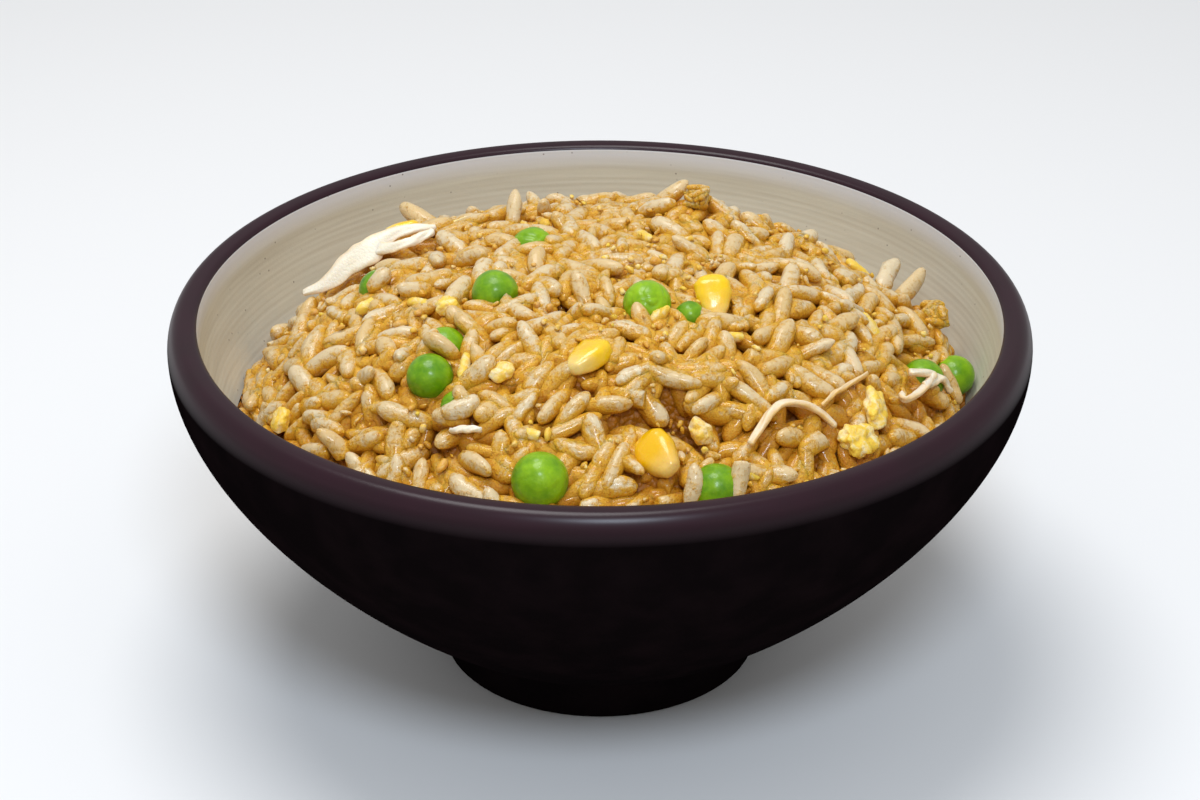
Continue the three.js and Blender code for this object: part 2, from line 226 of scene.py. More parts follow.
class ToppingSettings(bpy.types.PropertyGroup):
    pea_light: colour_setting("Pea, light", "Where a pea's skin is loose", srgb(144, 188, 12))
    pea_dark: colour_setting("Pea, dark", "Where a pea's skin is tight", srgb(64, 124, 0))
    corn: colour_setting("Corn", "Crown of a sweetcorn kernel", srgb(248, 200, 0))
    corn_tip: colour_setting("Corn tip", "Pale foot of a sweetcorn kernel", srgb(240, 216, 146))
    yolk: colour_setting("Egg yolk", "Yellow of scrambled egg", srgb(246, 206, 70))
    egg_white: colour_setting("Egg white", "White of scrambled egg", srgb(246, 232, 184))
    crust: colour_setting("Crust", "Browned egg and rice", srgb(206, 136, 40))
    shred: colour_setting("Shred", "Pale cooked shred", srgb(244, 234, 212))


class StageSettings(bpy.types.PropertyGroup):
    floor: colour_setting("Floor", "Plain pale floor", (0.86, 0.86, 0.86))
    key_power: bpy.props.FloatProperty(
        name="Key light", description="Power of the soft light overhead", default=3.4, min=0
    )
    fill_power: bpy.props.FloatProperty(
        name="Fill light", description="Power of the soft light in front", default=3.2, min=0
    )
    surround: bpy.props.FloatProperty(
        name="Surround", description="Strength of the even light all round", default=0.48, min=0
    )


# ---- Shaders ----


class Socket:
    """An output socket. Arithmetic on it adds Math nodes."""

    def __init__(self, shader, socket):
        self.shader = shader
        self.socket = socket

    def maths(self, operation, *operands):
        """A Math node on this socket and the operands that follow it."""
        inputs = dict(enumerate((self, *operands)))
        return self.shader.node("ShaderNodeMath", {"operation": operation}, inputs)

    def __add__(self, other):
        return self.maths("ADD", other)

    def __sub__(self, other):
        return self.maths("SUBTRACT", other)

    def __rsub__(self, other):
        return self.shader.node("ShaderNodeMath", {"operation": "SUBTRACT"}, {0: other, 1: self})

    def __mul__(self, other):
        return self.maths("MULTIPLY", other)

    def __truediv__(self, other):
        return self.maths("DIVIDE", other)

    def __pow__(self, other):
        return self.maths("POWER", other)

    __radd__ = __add__
    __rmul__ = __mul__

    def clamped(self):
        """Kept within 0 and 1."""
        return self.maths("MAXIMUM", 0).maths("MINIMUM", 1)

    def rise(self, low, high):
        """0 up to low, 1 from high, and a straight ramp between."""
        return ((self - low) / (high - low)).clamped()


class Shader:
    """A material built on one Principled BSDF."""

    SCATTER = ("Subsurface Weight", "Subsurface Radius", "Subsurface Scale")
    COAT = ("Coat Weight", "Coat Roughness")

    def __init__(self, name):
        self.material = bpy.data.materials.new(name)
        self.material.use_nodes = True
        self.tree = self.material.node_tree

    def finish(self, colour, roughness, normal=None, scatter=(), coat=(), specular=0.5):
        """Plugs the surface's sockets, and gives the material.

        scatter holds the weight, radius and scale of the light that passes under the surface,
        and coat holds the weight and roughness of the clear coat.
        """
        sockets = {"Base Color": colour, "Roughness": roughness, "Specular IOR Level": specular}
        if normal is not None:
            sockets["Normal"] = normal
        sockets.update(zip(self.SCATTER, scatter))
        sockets.update(zip(self.COAT, coat))
        for name, value in sockets.items():
            self.plug(self.tree.nodes["Principled BSDF"].inputs[name], value)
        return self.material

    def plug(self, socket, value):
        """Links a socket, or sets its value."""
        if isinstance(value, Socket):
            self.tree.links.new(value.socket, socket)
        elif socket.type == "RGBA":
            socket.default_value = (*value[:3], 1)
        else:
            socket.default_value = value

    def node(self, kind, settings=None, inputs=None, output=0):
        """Adds a node. Its settings are set first, then the values or links of its sockets."""
        node = self.tree.nodes.new(kind)
        for name, value in (settings or {}).items():
            setattr(node, name, value)
        for key, value in (inputs or {}).items():
            self.plug(node.inputs[key], value)
        return Socket(self, node.outputs[output])

    def mix(self, factor, first, second):
        """Colour first where factor is 0, and second where it is 1."""
        inputs = {0: factor, 6: first, 7: second}
        return self.node("ShaderNodeMix", {"data_type": "RGBA"}, inputs, output=2)

    def place(self, stretch=(1, 1, 1)):
        """The point of the surface, in millimetres, stretched along the axes."""
        point = self.node("ShaderNodeTexCoord", output=3)
        scale = tuple(s / MM for s in stretch)
        return self.node("ShaderNodeVectorMath", {"operation": "MULTIPLY"}, {0: point, 1: scale})

    def noise(self, size, detail=2.0, roughness=0.5, distortion=0.0, stretch=(1, 1, 1)):
        """Cloudy noise whose blobs are about size millimetres."""
        inputs = {
            "Vector": self.place(stretch),
            "Scale": 1 / size,
            "Detail": detail,
            "Roughness": roughness,
            "Distortion": distortion,
        }
        return self.node("ShaderNodeTexNoise", None, inputs)

    def cells(self, size):
        """Distance to the nearest of points scattered about size millimetres apart."""
        return self.node("ShaderNodeTexVoronoi", None, {"Vector": self.place(), "Scale": 1 / size})

    def attribute(self, name):
        """A number stored at the mesh's points."""
        return self.node("ShaderNodeAttribute", {"attribute_name": name}, output=2)

    def level(self):
        """The height of the surface's unit normal: 1 facing up, 0 on a flank."""
        normal = self.node("ShaderNodeNewGeometry", output=1)
        return self.node("ShaderNodeSeparateXYZ", None, {0: normal}, output=2)

    def bump(self, height, distance):
        """A normal that follows a height, given in millimetres for a height of 1."""
        return self.node("ShaderNodeBump", None, {"Distance": distance * MM, "Height": height})


def glaze_material(settings):
    """Two glazes of one bowl, told apart by the value "inner" at each point."""
    shader = Shader("stoneware_glaze")
    depth = shader.attribute("depth")
    fine = shader.noise(1.1, 4, 0.6)

    band = depth.rise(1.6, 5)
    inside = shader.mix(band, settings.band, settings.inside)
    streak = shader.noise(7, 3, stretch=(0.25, 0.25, 6))
    inside = shader.mix((streak - 0.35) * 0.6 * band, inside, srgb(150, 134, 104))
    speck = (1 - shader.cells(2.6).rise(0.04, 0.1)) * shader.noise(5, 1).rise(0.46, 0.54)
    inside = shader.mix(speck * 0.7, inside, srgb(92, 78, 70))

    thin = 1 - depth.rise(1.8, 5.4)
    outside = shader.mix(thin, settings.outside, settings.lip)
    outside = shader.mix(shader.noise(9, 3).rise(0.4, 0.75) * 0.3, outside, srgb(30, 20, 22))

    dark = 1 - shader.attribute("inner").rise(0.45, 0.55)
    return shader.finish(
        shader.mix(dark, inside, outside),
        0.5 - dark * 0.12 + (fine - 0.5) * 0.08,
        shader.bump(fine * 0.5 + shader.noise(0.35, 2) * 0.3, 0.03),
        coat=(dark * thin * 0.58, 0.3),
        specular=0.0,
    )


def rice_material(settings, name="cooked_rice"):
    """Moist grains, pale on top: golden with sauce at the ends, with painted shade on the flanks,
    in gaps and at contacts.
    """
    shader = Shader(name)
    tone, sauce, tip, cavity, side, near = (
        shader.attribute(value) for value in ("tone", "sauce", "tip", "cavity", "side", "near")
    )
    cloud = shader.noise(1.2, 4, 0.65, distortion=0.4)
    spots = shader.noise(0.6, 3, 0.65)
    freckle = shader.noise(0.3, 2, 0.6)
    # Painted shade: the less a point faces up, the more golden it is painted.
    flank = 1 - shader.level().rise(0.15, 0.8)

    # Golden ends and stripes are the grains' own colour; near and cavity add painted shade at
    # contacts and in gaps.
    edge = near.rise(0.05, 0.7) * 0.5 + tip**5 * 0.4 + side * 0.1 + cavity.rise(-0.6, 1.0)
    # Sauce and mottling by chance, plus the painted shade of the flanks, contacts and gaps.
    coat = (edge + flank * 0.4 + sauce * 0.45 + (cloud - 0.5) * 3.6 - 0.36).clamped()
    body = shader.mix(tone, settings.pale, srgb(216, 184, 126))
    colour = shader.mix(coat, body, settings.golden)
    # Painted shade: browned deep in the gaps and where grains touch.
    crevice_shade = cavity.rise(0.5, 2.6) * 0.7 + near.rise(0.5, 1) * 0.25
    # Fried spots, plus the painted crevice shade.
    fried = (spots.rise(0.54, 0.7) * coat * 0.7 + crevice_shade).clamped()
    colour = shader.mix(fried * 0.9, colour, settings.browned)
    freckled = freckle.rise(0.5, 0.64) * (0.1 + coat * 0.3)
    return shader.finish(
        shader.mix(freckled, colour, srgb(196, 124, 16)),
        (0.34 + cloud * 0.2 + fried * 0.1).clamped(),
        shader.bump(cloud * 0.3 + spots * coat * 0.9 + freckle * 0.12, 0.4),
        scatter=(0.5, (1.0, 0.86, 0.64), 0.0008),
        coat=(0.45, 0.12),
        specular=0.25,
    )


def core_material(settings):
    """What shows between the grains: crushed rice in sauce, coloured dark brown as painted shade
    of the gaps.
    """
    shader = Shader("heap_core")
    cloud = shader.noise(1.6, 4, 0.65)
    grit = shader.cells(1.1)
    # Dark brown painted shade for the gaps, with darker grit.
    colour = shader.mix(cloud.rise(0.35, 0.65), settings.browned, srgb(160, 96, 0))
    colour = shader.mix(grit.rise(0.5, 0.9) * 0.5, colour, srgb(132, 76, 0))
    return shader.finish(colour, 0.5, shader.bump(cloud * 0.6 - grit, 0.6))


def pea_material(settings):
    """A moist skin, mottled from light to dark green."""
    shader = Shader("green_pea")
    cloud = shader.noise(3.2, 3, 0.55)
    skin = shader.noise(0.5, 3, 0.6)
    light = ((cloud - 0.5) * 1.8 + shader.attribute("tone")).clamped()
    colour = shader.mix(light, settings.pea_dark, settings.pea_light)
    return shader.finish(
        shader.mix(skin.rise(0.6, 0.8) * 0.2, colour, srgb(190, 212, 110)),
        (0.3 + skin * 0.16).clamped(),
        shader.bump(skin * 0.4 + shader.noise(1.6, 2), 0.14),
        scatter=(0.12, (1.0, 1.0, 0.4), 0.0008),
        coat=(0.35, 0.18),
        specular=0.25,
    )


def corn_material(settings):
    """A yellow kernel, pale at its foot and deeper where tone is high."""
    shader = Shader("sweetcorn")
    cloud = shader.noise(2.6, 3)
    pale = (shader.attribute("tip").rise(0.55, 1) * 0.8 + (cloud - 0.5) * 0.5).clamped()
    colour = shader.mix(pale, settings.corn, settings.corn_tip)
    dark = (shader.attribute("tone") + cloud.rise(0.55, 0.8) * 0.35).clamped()
    return shader.finish(
        shader.mix(dark, colour, srgb(226, 156, 0)),
        (0.2 + cloud * 0.15).clamped(),
        shader.bump(shader.noise(1.4, 3), 0.12),
        scatter=(0.25, (1.0, 0.7, 0.1), 0.0016),
        coat=(0.35, 0.1),
    )


def egg_material(settings):
    """Scrambled egg: yolk and white marbled, browned where tone is high."""
    shader = Shader("scrambled_egg")
    brown = shader.attribute("tone")
    marble = shader.noise(2.1, 3, 0.55, distortion=0.8)
    crumbs = shader.noise(0.6, 3, 0.6)
    colour = shader.mix(marble.rise(0.46, 0.7), settings.yolk, settings.egg_white)
    edge = (brown + (crumbs - 0.5) * 0.8).clamped()
    colour = shader.mix(edge * 0.85, colour, settings.crust)
    return shader.finish(
        shader.mix(crumbs.rise(0.6, 0.75) * brown * 0.6, colour, srgb(150, 84, 20)),
        (0.42 + crumbs * 0.2).clamped(),
        shader.bump(crumbs, 0.18),
        scatter=(0.25, (1.0, 0.75, 0.35), 0.0014),
        coat=(0.15, 0.3),
    )


def shred_material(settings):
    """Fibrous pale shreds with golden edges."""
    shader = Shader("pale_shred")
    cloud = shader.noise(2.4, 3, 0.6)
    edge = shader.attribute("tip").rise(0.55, 1) * 0.5 + (cloud - 0.5) * 0.7
    edge = (edge + shader.attribute("tone")).clamped()
    return shader.finish(
        shader.mix(edge, settings.shred, srgb(228, 180, 96)),
        (0.42 + cloud * 0.2).clamped(),
        shader.bump(shader.noise(0.5, 3), 0.15),
        scatter=(0.25, (1.0, 0.8, 0.5), 0.0012),
        coat=(0.2, 0.25),
    )


def floor_material(settings):
    """A plain matt floor."""
    return Shader("floor").finish(settings.floor, 0.9, specular=0.1)


# ---- Meshes ----


def add_mesh(name, points, faces, material, values=None):
    """A smooth mesh from points in millimetres, with values stored at its points."""
    mesh = bpy.data.meshes.new(name)
    mesh.from_pydata((np.asarray(points) * MM).tolist(), [], faces)
    for key, numbers in (values or {}).items():
        layer = mesh.attributes.new(key, "FLOAT", "POINT")
        layer.data.foreach_set("value", np.asarray(numbers, dtype=np.float32).ravel())
    mesh.shade_smooth()
    mesh.materials.append(material)
    piece = bpy.data.objects.new(name, mesh)
    bpy.context.scene.collection.objects.link(piece)
    return piece


def seat(piece, slot, *solids):
    """The piece rides on the body, and stands for these solids. Its slot is not used."""
    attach(piece, BODY)
    if solids:
        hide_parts(*solids)
    return piece


def tube_faces(rings, sides):
    """Faces of a closed skin: a point, rings of sides points each, and a last point."""
    last = 1 + rings * sides
    faces = []
    for j in range(sides):
        k = (j + 1) % sides
        faces.append((0, 1 + k, 1 + j))
        for i in range(rings - 1):
            a = 1 + i * sides
            faces.append((a + j, a + k, a + sides + k, a + sides + j))
        a = 1 + (rings - 1) * sides
        faces.append((a + j, a + k, last))
    return faces


def add_joined(name, skins, material, **values):
    """One mesh from several skins, each (points, faces), with values for each skin."""
    points, faces, start = [], [], 0
    for skin_points, skin_faces in skins:
        points.append(skin_points)
        faces.extend(tuple(start + i for i in face) for face in skin_faces)
        start += len(skin_points)
    spread = {
        key: np.concatenate([np.broadcast_to(v, len(p)) for v, p in zip(numbers, points)])
        for key, numbers in values.items()
    }
    return add_mesh(name, np.vstack(points), faces, material, spread)


def ball(subdivisions):
    """Points and faces of a ball of radius 1."""
    shape = bmesh.new()
    bmesh.ops.create_icosphere(shape, subdivisions=subdivisions, radius=1)
    points = np.array([v.co[:] for v in shape.verts])
    faces = [tuple(v.index for v in f.verts) for f in shape.faces]
    shape.free()
    return points, faces


def noise_at(points, size, seed, octaves=3):
    """Smooth noise of about -1 to 1 at points, with blobs of about size millimetres."""
    shift = Vector((seed * 13.7, seed * 7.1, seed * 3.3))
    return np.array(
        [noise.fractal(Vector(p) / size + shift, 1.0, 2.0, octaves) for p in points.tolist()]
    )


def lifted(x, y, lift):
    """The point this far out from the heap's outline."""
    return np.array((x, y, heap_top(x, y))) + np.array(heap_normal(x, y)) * lift


def basis_on_heap(x, y, turn=0.0, tip=0.0, roll=0.0):
    """Columns along, across and up of a piece laid on the heap, with angles in degrees."""
    up = heap_normal(x, y)
    along = Vector((math.cos(math.radians(turn)), math.sin(math.radians(turn)), 0))
    along = (along - up * along.dot(up)).normalized()
    across = up.cross(along)
    tip, roll = math.radians(tip), math.radians(roll)
    tipped = along * math.cos(tip) + up * math.sin(tip)
    raised = up * math.cos(tip) - along * math.sin(tip)
    rolled = across * math.cos(roll) + raised * math.sin(roll)
    top = raised * math.cos(roll) - across * math.sin(roll)
    return np.array([tipped, rolled, top]).T


# ---- Pile ----
# A row says how a thing lies: x, y, z, turn, tilt, length, width, and height over width.


def evened(grid, reach):
    """Each cell's mean over its surroundings, this many cells to each side."""
    grid = np.pad(grid, reach + 1, mode="edge")
    for axis in (0, 1):
        total = np.cumsum(grid, axis=axis)
        grid = (np.roll(total, -reach, axis) - np.roll(total, reach + 1, axis)) / (2 * reach + 1)
    edge = slice(reach + 1, -reach - 1)
    return grid[edge, edge]


class Pile:
    """Height of what lies in the bowl, on a square grid of the plan."""

    NOWHERE = -1e3  # a height under everything
    HALF = 78.0
    CELL = 0.35
    DENSITY = 1.6  # points tried for each cell of a footprint
    AHEAD = 3.0  # how far in front of a thing kept clear nothing stands up before it
    CLIMB = 0.35  # rise of the limit there, for each millimetre to the front
    ALONG = np.linspace(-0.94, 0.94, 15)
    ACROSS = np.linspace(-0.85, 0.85, 5)

    def __init__(self, cover):
        count = 2 * int(self.HALF / self.CELL) + 1
        line = (np.arange(count) - count // 2) * self.CELL
        x, y = np.meshgrid(line, line, indexing="ij")
        radius = np.hypot(x, y)
        self.middle = count // 2
        self.limit = heap_top(x, y)
        rough = 1.1 * np.sin(x / 1.7 + np.sin(y / 3.1)) * np.sin(y / 1.9 + np.sin(x / 2.7))
        core = np.where(radius < HEAP_RADIUS, self.limit - cover + rough, self.NOWHERE)
        self.top = np.maximum(wall_height(radius) + WALL_GAP, core)
        self.taken = np.zeros(radius.shape, bool)

    def cells(self, x, y):
        """Places in the grid of points of the plan."""
        i = np.rint(np.asarray(x) / self.CELL).astype(int) + self.middle
        j = np.rint(np.asarray(y) / self.CELL).astype(int) + self.middle
        last = 2 * self.middle
        return np.clip(i, 0, last), np.clip(j, 0, last)

    def footprint(self, row, share=1.0):
        """Cells under a thing, the height of its axis there, and half its thickness."""
        x, y, z, turn, tilt, length, width, flat = row
        half_length, half_width = share * length / 2, share * width / 2
        lean = math.cos(tilt)
        cos, sin = math.cos(turn), math.sin(turn)
        steps = max(9, int(length * lean / self.CELL * self.DENSITY))
        along = np.linspace(-0.98, 0.98, steps)[:, None]
        across = np.linspace(-0.96, 0.96, max(5, int(width / self.CELL * self.DENSITY)))
        girth = 1 - np.abs(along) ** 3 - across**2
        inside = girth > 0
        u = (along * half_length * lean + 0 * across)[inside]
        v = (across * half_width + 0 * along)[inside]
        belly = np.sqrt(girth[inside]) * half_width * flat / max(lean, 0.4)
        cells = self.cells(x + u * cos - v * sin, y + u * sin + v * cos)
        return cells, z + u * math.tan(tilt), belly

    def add(self, row):
        """The thing lies here."""
        cells, axis, belly = self.footprint(row)
        np.maximum.at(self.top, cells, axis + belly)

    def shows(self, row):
        """Whether the thing is in sight, and not wholly under others."""
        cells, axis, belly = self.footprint(row)
        return (axis + belly > self.top[cells] - 0.5).mean() > 0.03

    def keep_clear(self, row, share):
        """Nothing is laid on this share of the thing, nor hides it from the front."""
        cells, axis, belly = self.footprint(row, share)
        self.taken[cells] = True
        for step in np.arange(0, self.AHEAD, self.CELL):
            shifted = (cells[0], np.maximum(cells[1] - int(step / self.CELL), 0))
            np.minimum.at(self.limit, shifted, axis + self.CLIMB * step)

    def rest(self, x, y, turn, half_length, half_width):
        """Height and slope of a thing let down at (x, y), and how far it stands over the limit.

        None where the spot is taken.
        """
        cos, sin = math.cos(turn), math.sin(turn)
        fullness = np.sqrt(1 - np.abs(self.ALONG) ** 3)[:, None]
        girth = fullness**2 - self.ACROSS**2
        slope = 0.0
        for _ in range(2):
            lean = math.hypot(1, slope)
            u = self.ALONG[:, None] * half_length / lean
            v = self.ACROSS * half_width
            spots = self.cells(x + u * cos - v * sin, y + u * sin + v * cos)
            belly = np.sqrt(np.maximum(girth, 0)) * half_width * lean
            need = np.where(girth > 0, self.top[spots] + belly, self.NOWHERE).max(axis=1)
            height, slope = self.balance(u[:, 0], need)
        if self.taken[spots][girth > 0].mean() > 0.12:
            return None
        over = (height + slope * u + belly - self.limit[spots])[girth > 0]
        return height, slope, 0.5 * (over.mean() + over.max())

    @staticmethod
    def balance(u, need):
        """The lowest straight line over what is needed along u: its height at 0 and slope."""
        half = len(u) // 2
        ul, ur = u[:half, None], u[None, half + 1 :]
        nl, nr = need[:half, None], need[None, half + 1 :]
        at_middle = (nl * ur - nr * ul) / (ur - ul)
        i, j = np.unravel_index(np.argmax(at_middle), at_middle.shape)
        height = at_middle[i, j]
        slope = (need[half + 1 + j] - need[i]) / (u[half + 1 + j] - u[i])
        if need[half] <= height:
            return height, slope
        steepest = ((need[half] - need[:half]) / -u[:half]).min()
        flattest = ((need[half + 1 :] - need[half]) / u[half + 1 :]).max()
        return need[half], min((steepest, flattest), key=abs)

    def settle(self):
        """Works out the evened height of the pile, and the level of its gaps."""
        self.even = evened(self.top, 7)
        gaps = self.top
        for axis in (0, 1):
            gaps = np.min([np.roll(gaps, step, axis) for step in range(-4, 5)], axis=0)
        self.gaps = evened(gaps, 4)

    def buried(self, points):
        """How far points lie under the evened height of the pile."""
        return self.even[self.cells(points[:, 0], points[:, 1])] - points[:, 2]

    def drop(self, x, y, length, width, turns, tolerance, sink=0.34):
        """Lays a crumb at (x, y), turned the way it lies lowest. Gives its row, or None."""
        best = None
        for turn in turns:
            rested = self.rest(x, y, turn, length / 2, width / 2)
            if rested and rested[2] < tolerance and (best is None or rested[0] < best[1][0]):
                best = (turn, rested)
        if best is None:
            return None
        turn, (height, slope, _) = best
        row = (x, y, height - sink * width, turn, math.atan(slope), length, width, 1.0)
        self.add(row)
        return row


# ---- Bowl ----


def bowl_profile(settings):
    """Rows of radius, height, 1 for inside, and millimetres down from the mouth."""
    belly = bezier(
        (
            (FOOT_TOP_RADIUS, FOOT_HEIGHT),
            (FOOT_TOP_RADIUS + 23, FOOT_HEIGHT + 14.5),
            (LIP_RADIUS, BOWL_HEIGHT - LIP_DROP - 19),
            (LIP_RADIUS, BOWL_HEIGHT - LIP_DROP),
        ),
        40,
    )
    angle = np.linspace(0, math.pi / 2, 14)[1:, None]
    lip = np.hstack(
        (
            LIP_CREST_RADIUS + (LIP_RADIUS - LIP_CREST_RADIUS) * np.cos(angle),
            BOWL_HEIGHT - LIP_DROP + LIP_DROP * np.sin(angle),
        )
    )
    shoulder = np.array(
        [
            (LIP_CREST_RADIUS - 1.2, BOWL_HEIGHT - 0.06),
            (MOUTH_RADIUS + 1.1, BOWL_HEIGHT - 0.12),
            (MOUTH_RADIUS + 0.95, BOWL_HEIGHT - 0.15),
            (MOUTH_RADIUS + 0.5, BOWL_HEIGHT - 0.3),
        ]
    )
    foot = np.array(
        [
            (0, RECESS_DEPTH),
            (RECESS_RADIUS, RECESS_DEPTH),
            (RECESS_RADIUS + FOOT_EDGE, 0),
            (FOOT_RADIUS - FOOT_EDGE, 0),
            (FOOT_RADIUS - 0.25, 0.25),
            (FOOT_RADIUS, FOOT_EDGE),
            (FOOT_TOP_RADIUS - 0.1, FOOT_HEIGHT - 0.5),
        ]
    )
    outer = np.vstack((foot, belly, lip, shoulder))
    down = MOUTH_Z - INNER_WALL[:, 1]
    ring = np.sin(2 * math.pi * down / (settings.ring_pitch / MM))
    fade = np.clip((down - 3) / 4, 0, 1) * np.clip((45 - down) / 5, 0, 1)
    inner = INNER_WALL.copy()
    inner[:, 0] -= fade * settings.ring_depth / MM * 0.5 * (1 + ring)
    rows = np.vstack((outer, inner[1:]))
    is_inner = np.r_[np.zeros(len(outer)), np.clip(down[1:] / 0.9, 0, 1)]
    depth = np.r_[BOWL_HEIGHT - outer[:, 1], down[1:]]
    return rows, is_inner, depth


def lathe(rows, sides):
    """Points and faces of a profile turned about Z. Its first and last rows are on the axis."""
    angle = np.arange(sides) * 2 * math.pi / sides
    ring = rows[1:-1]
    x = ring[:, :1] * np.cos(angle)
    y = ring[:, :1] * np.sin(angle)
    z = np.repeat(ring[:, 1:2], sides, axis=1)
    middle = np.stack((x, y, z), axis=-1).reshape(-1, 3)
    first, last = ((0, 0, row[1]) for row in (rows[0], rows[-1]))
    points = np.vstack((first, middle, last))
    faces = [tuple(reversed(face)) for face in tube_faces(len(ring), sides)]
    return points, faces


def round_rings(values, sides):
    """Values of a profile's rows, spread over the points that lathe gives."""
    return np.r_[values[0], np.repeat(values[1:-1], sides), values[-1]]


class FRIEDRICE_OT_bowl(bpy.types.Operator):
    """Builds the bowl, with its throwing rings and two glazes"""

    bl_idname = "friedrice.bowl"
    bl_label = "Bowl"
    SIDES = 176

    def execute(self, context):
        settings = context.scene.friedrice_bowl
        rows, *profile_values = bowl_profile(settings)
        points, faces = lathe(rows, self.SIDES)
        spread = [round_rings(values, self.SIDES) for values in profile_values]
        values = dict(zip(("inner", "depth"), spread))
        piece = add_mesh("stoneware_bowl", points, faces, glaze_material(settings), values)
        seat(piece, "stoneware", "bowl")
        return {"FINISHED"}


# ---- Toppings ----

PEAS = tuple(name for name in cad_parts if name.startswith("pea_"))

KERNELS = {  # at, turn, tip, roll, size, lift
    "corn_middle": ((-2.3, -35), 235, 10, 25, 1.0, -0.9),
    "corn_crown": ((21.2, -13), 282, -38, 10, 0.95, -0.4),
    "corn_back_left": ((-39.2, 27), 200, 12, 0, 0.75, -0.2),
    "corn_front": ((10.2, -52.4), 300, 12, 40, 1.05, -0.4),
}

KERNEL_SECTIONS = (  # along, breadth, height
    (-4.75, 2.6, 1.6),
    (-4.2, 5.2, 3.1),
    (-2.8, 7.2, 4.4),
    (-0.4, 7.4, 4.6),
    (2.4, 5.4, 3.8),
    (4.4, 3.2, 2.6),
    (4.85, 1.6, 1.4),
)
KERNEL_HALF, KERNEL_WIDTH, KERNEL_FLATNESS = 4.9, 6.8, 0.65

CRUMBS = {  # at, size, turn, lift, browning
    "egg_crumb_left": ((-28.5, -14.6), (5, 4.4, 3.6), 20, 0, 0.05),
    "egg_crumb_rim": ((-59.2, -23.4), (5.4, 4.6, 3.6), 60, 0, 0.1),
    "egg_chunk_right": ((46.6, -38), (9, 6.8, 4.4), 12, 0, 0.05),
    "egg_curd_right": ((50.2, -29), (10, 5, 3.6), 290, 0, 0.05),
    "egg_crumb_front": ((17.8, -44.8), (5.4, 4.2, 3.8), 110, 0, 0.25),
    "egg_crumb_middle": ((-17.6, -36.4), (4.8, 4, 3), 30, 0, 0.15),
    "crust_peak": ((19, 24.6), (8, 6.4, 5.4), 340, 0, 0.75),
    "crust_right": ((65.2, 13), (10, 6.6, 6), 100, 0.6, 0.7),
}

STRIPS = {  # thickness, tone, lean of the back edge
    "chicken_shred_long": (1.2, 0.0, 38),
    "chicken_shred_curl": (1.2, 0.15, 25),
    "chicken_sliver_front": (1.1, 0.0, 20),
    "egg_ribbon_front": (1.2, 0.4, 10),
    "egg_ribbon_right": (0.9, 0.6, 0),
}

ARMS = (  # the strip that an arm is part of, and its knots: x, y, lift, breadth
    (
        "chicken_shred_long",
        (-58.6, 15.6, 4, 1.2),
        (-54, 15, 2.2, 3.2),
        (-49.6, 16, 2.4, 4.8),
        (-45.8, 17, 2.4, 5.8),
        (-41.6, 19.8, 2, 3.2),
        (-36.6, 21, 1.1, 2.2),
        (-32, 20, 0.9, 1.4),
    ),
    (
        "chicken_shred_long",
        (-43.8, 17.6, 1.6, 3.2),
        (-39, 15.6, 1.1, 2.2),
        (-35.2, 16.6, 1, 2.1),
        (-32.6, 18.6, 0.9, 1.5),
    ),
    (
        "chicken_shred_curl",
        (58, -15.6, 2.2, 1.6),
        (62.5, -11.2, 3.2, 2.2),
        (61, -16.2, 2.6, 2.2),
        (57, -22.8, 1.8, 2),
        (55.4, -22.4, 1.2, 1.4),
    ),
    ("chicken_shred_curl", (61, -16.4, 3, 1.8), (64.5, -10.6, 4.2, 2.4), (66.7, -9.5, 3.2, 1.6)),
    (
        "chicken_sliver_front",
        (-26.6, -45.8, 1.3, 0.8),
        (-23.7, -47.2, 1.4, 1.7),
        (-20.8, -48.1, 1.3, 0.8),
    ),
    (
        "egg_ribbon_front",
        (42.6, -38.4, 0.3, 1.5),
        (39.4, -37.8, 0.8, 2),
        (36, -38.2, 1.1, 2.2),
        (32.6, -39.8, 1.1, 2.2),
        (30.2, -42, 0.9, 2),
        (28.4, -44.6, 0.9, 1.8),
        (26.4, -47.2, 0.6, 1.4),
    ),
    (
        "egg_ribbon_right",
        (40, -36.3, 0.8, 0.7),
        (42.4, -33, 1.4, 1),
        (44.6, -30.4, 1.6, 1),
        (49.4, -23.2, 1.2, 0.8),
    ),
)


def pea_skin(centre, radius, seed):
    """A pea: round, with a shallow dimple and a few soft wrinkles."""
    points, faces = ball(5)
    rng = np.random.default_rng(seed)
    dimple = rng.normal(size=3)
    dimple /= np.linalg.norm(dimple)
    near = points @ dimple
    reach = 1 - 0.05 * np.exp(-((1 - near) / 0.03))
    soft = noise_at(points, 0.9, seed, 2)
    crease = 1 - np.abs(noise_at(points * (1, 1, 1.6), 0.7, seed + 40, 1))
    depth = rng.choice((0.008, 0.015, 0.05), p=(0.4, 0.3, 0.3))
    reach = reach + 0.02 * soft - depth * np.maximum(crease - 0.86, 0) / 0.14
    return centre + points * radius * reach[:, None], faces


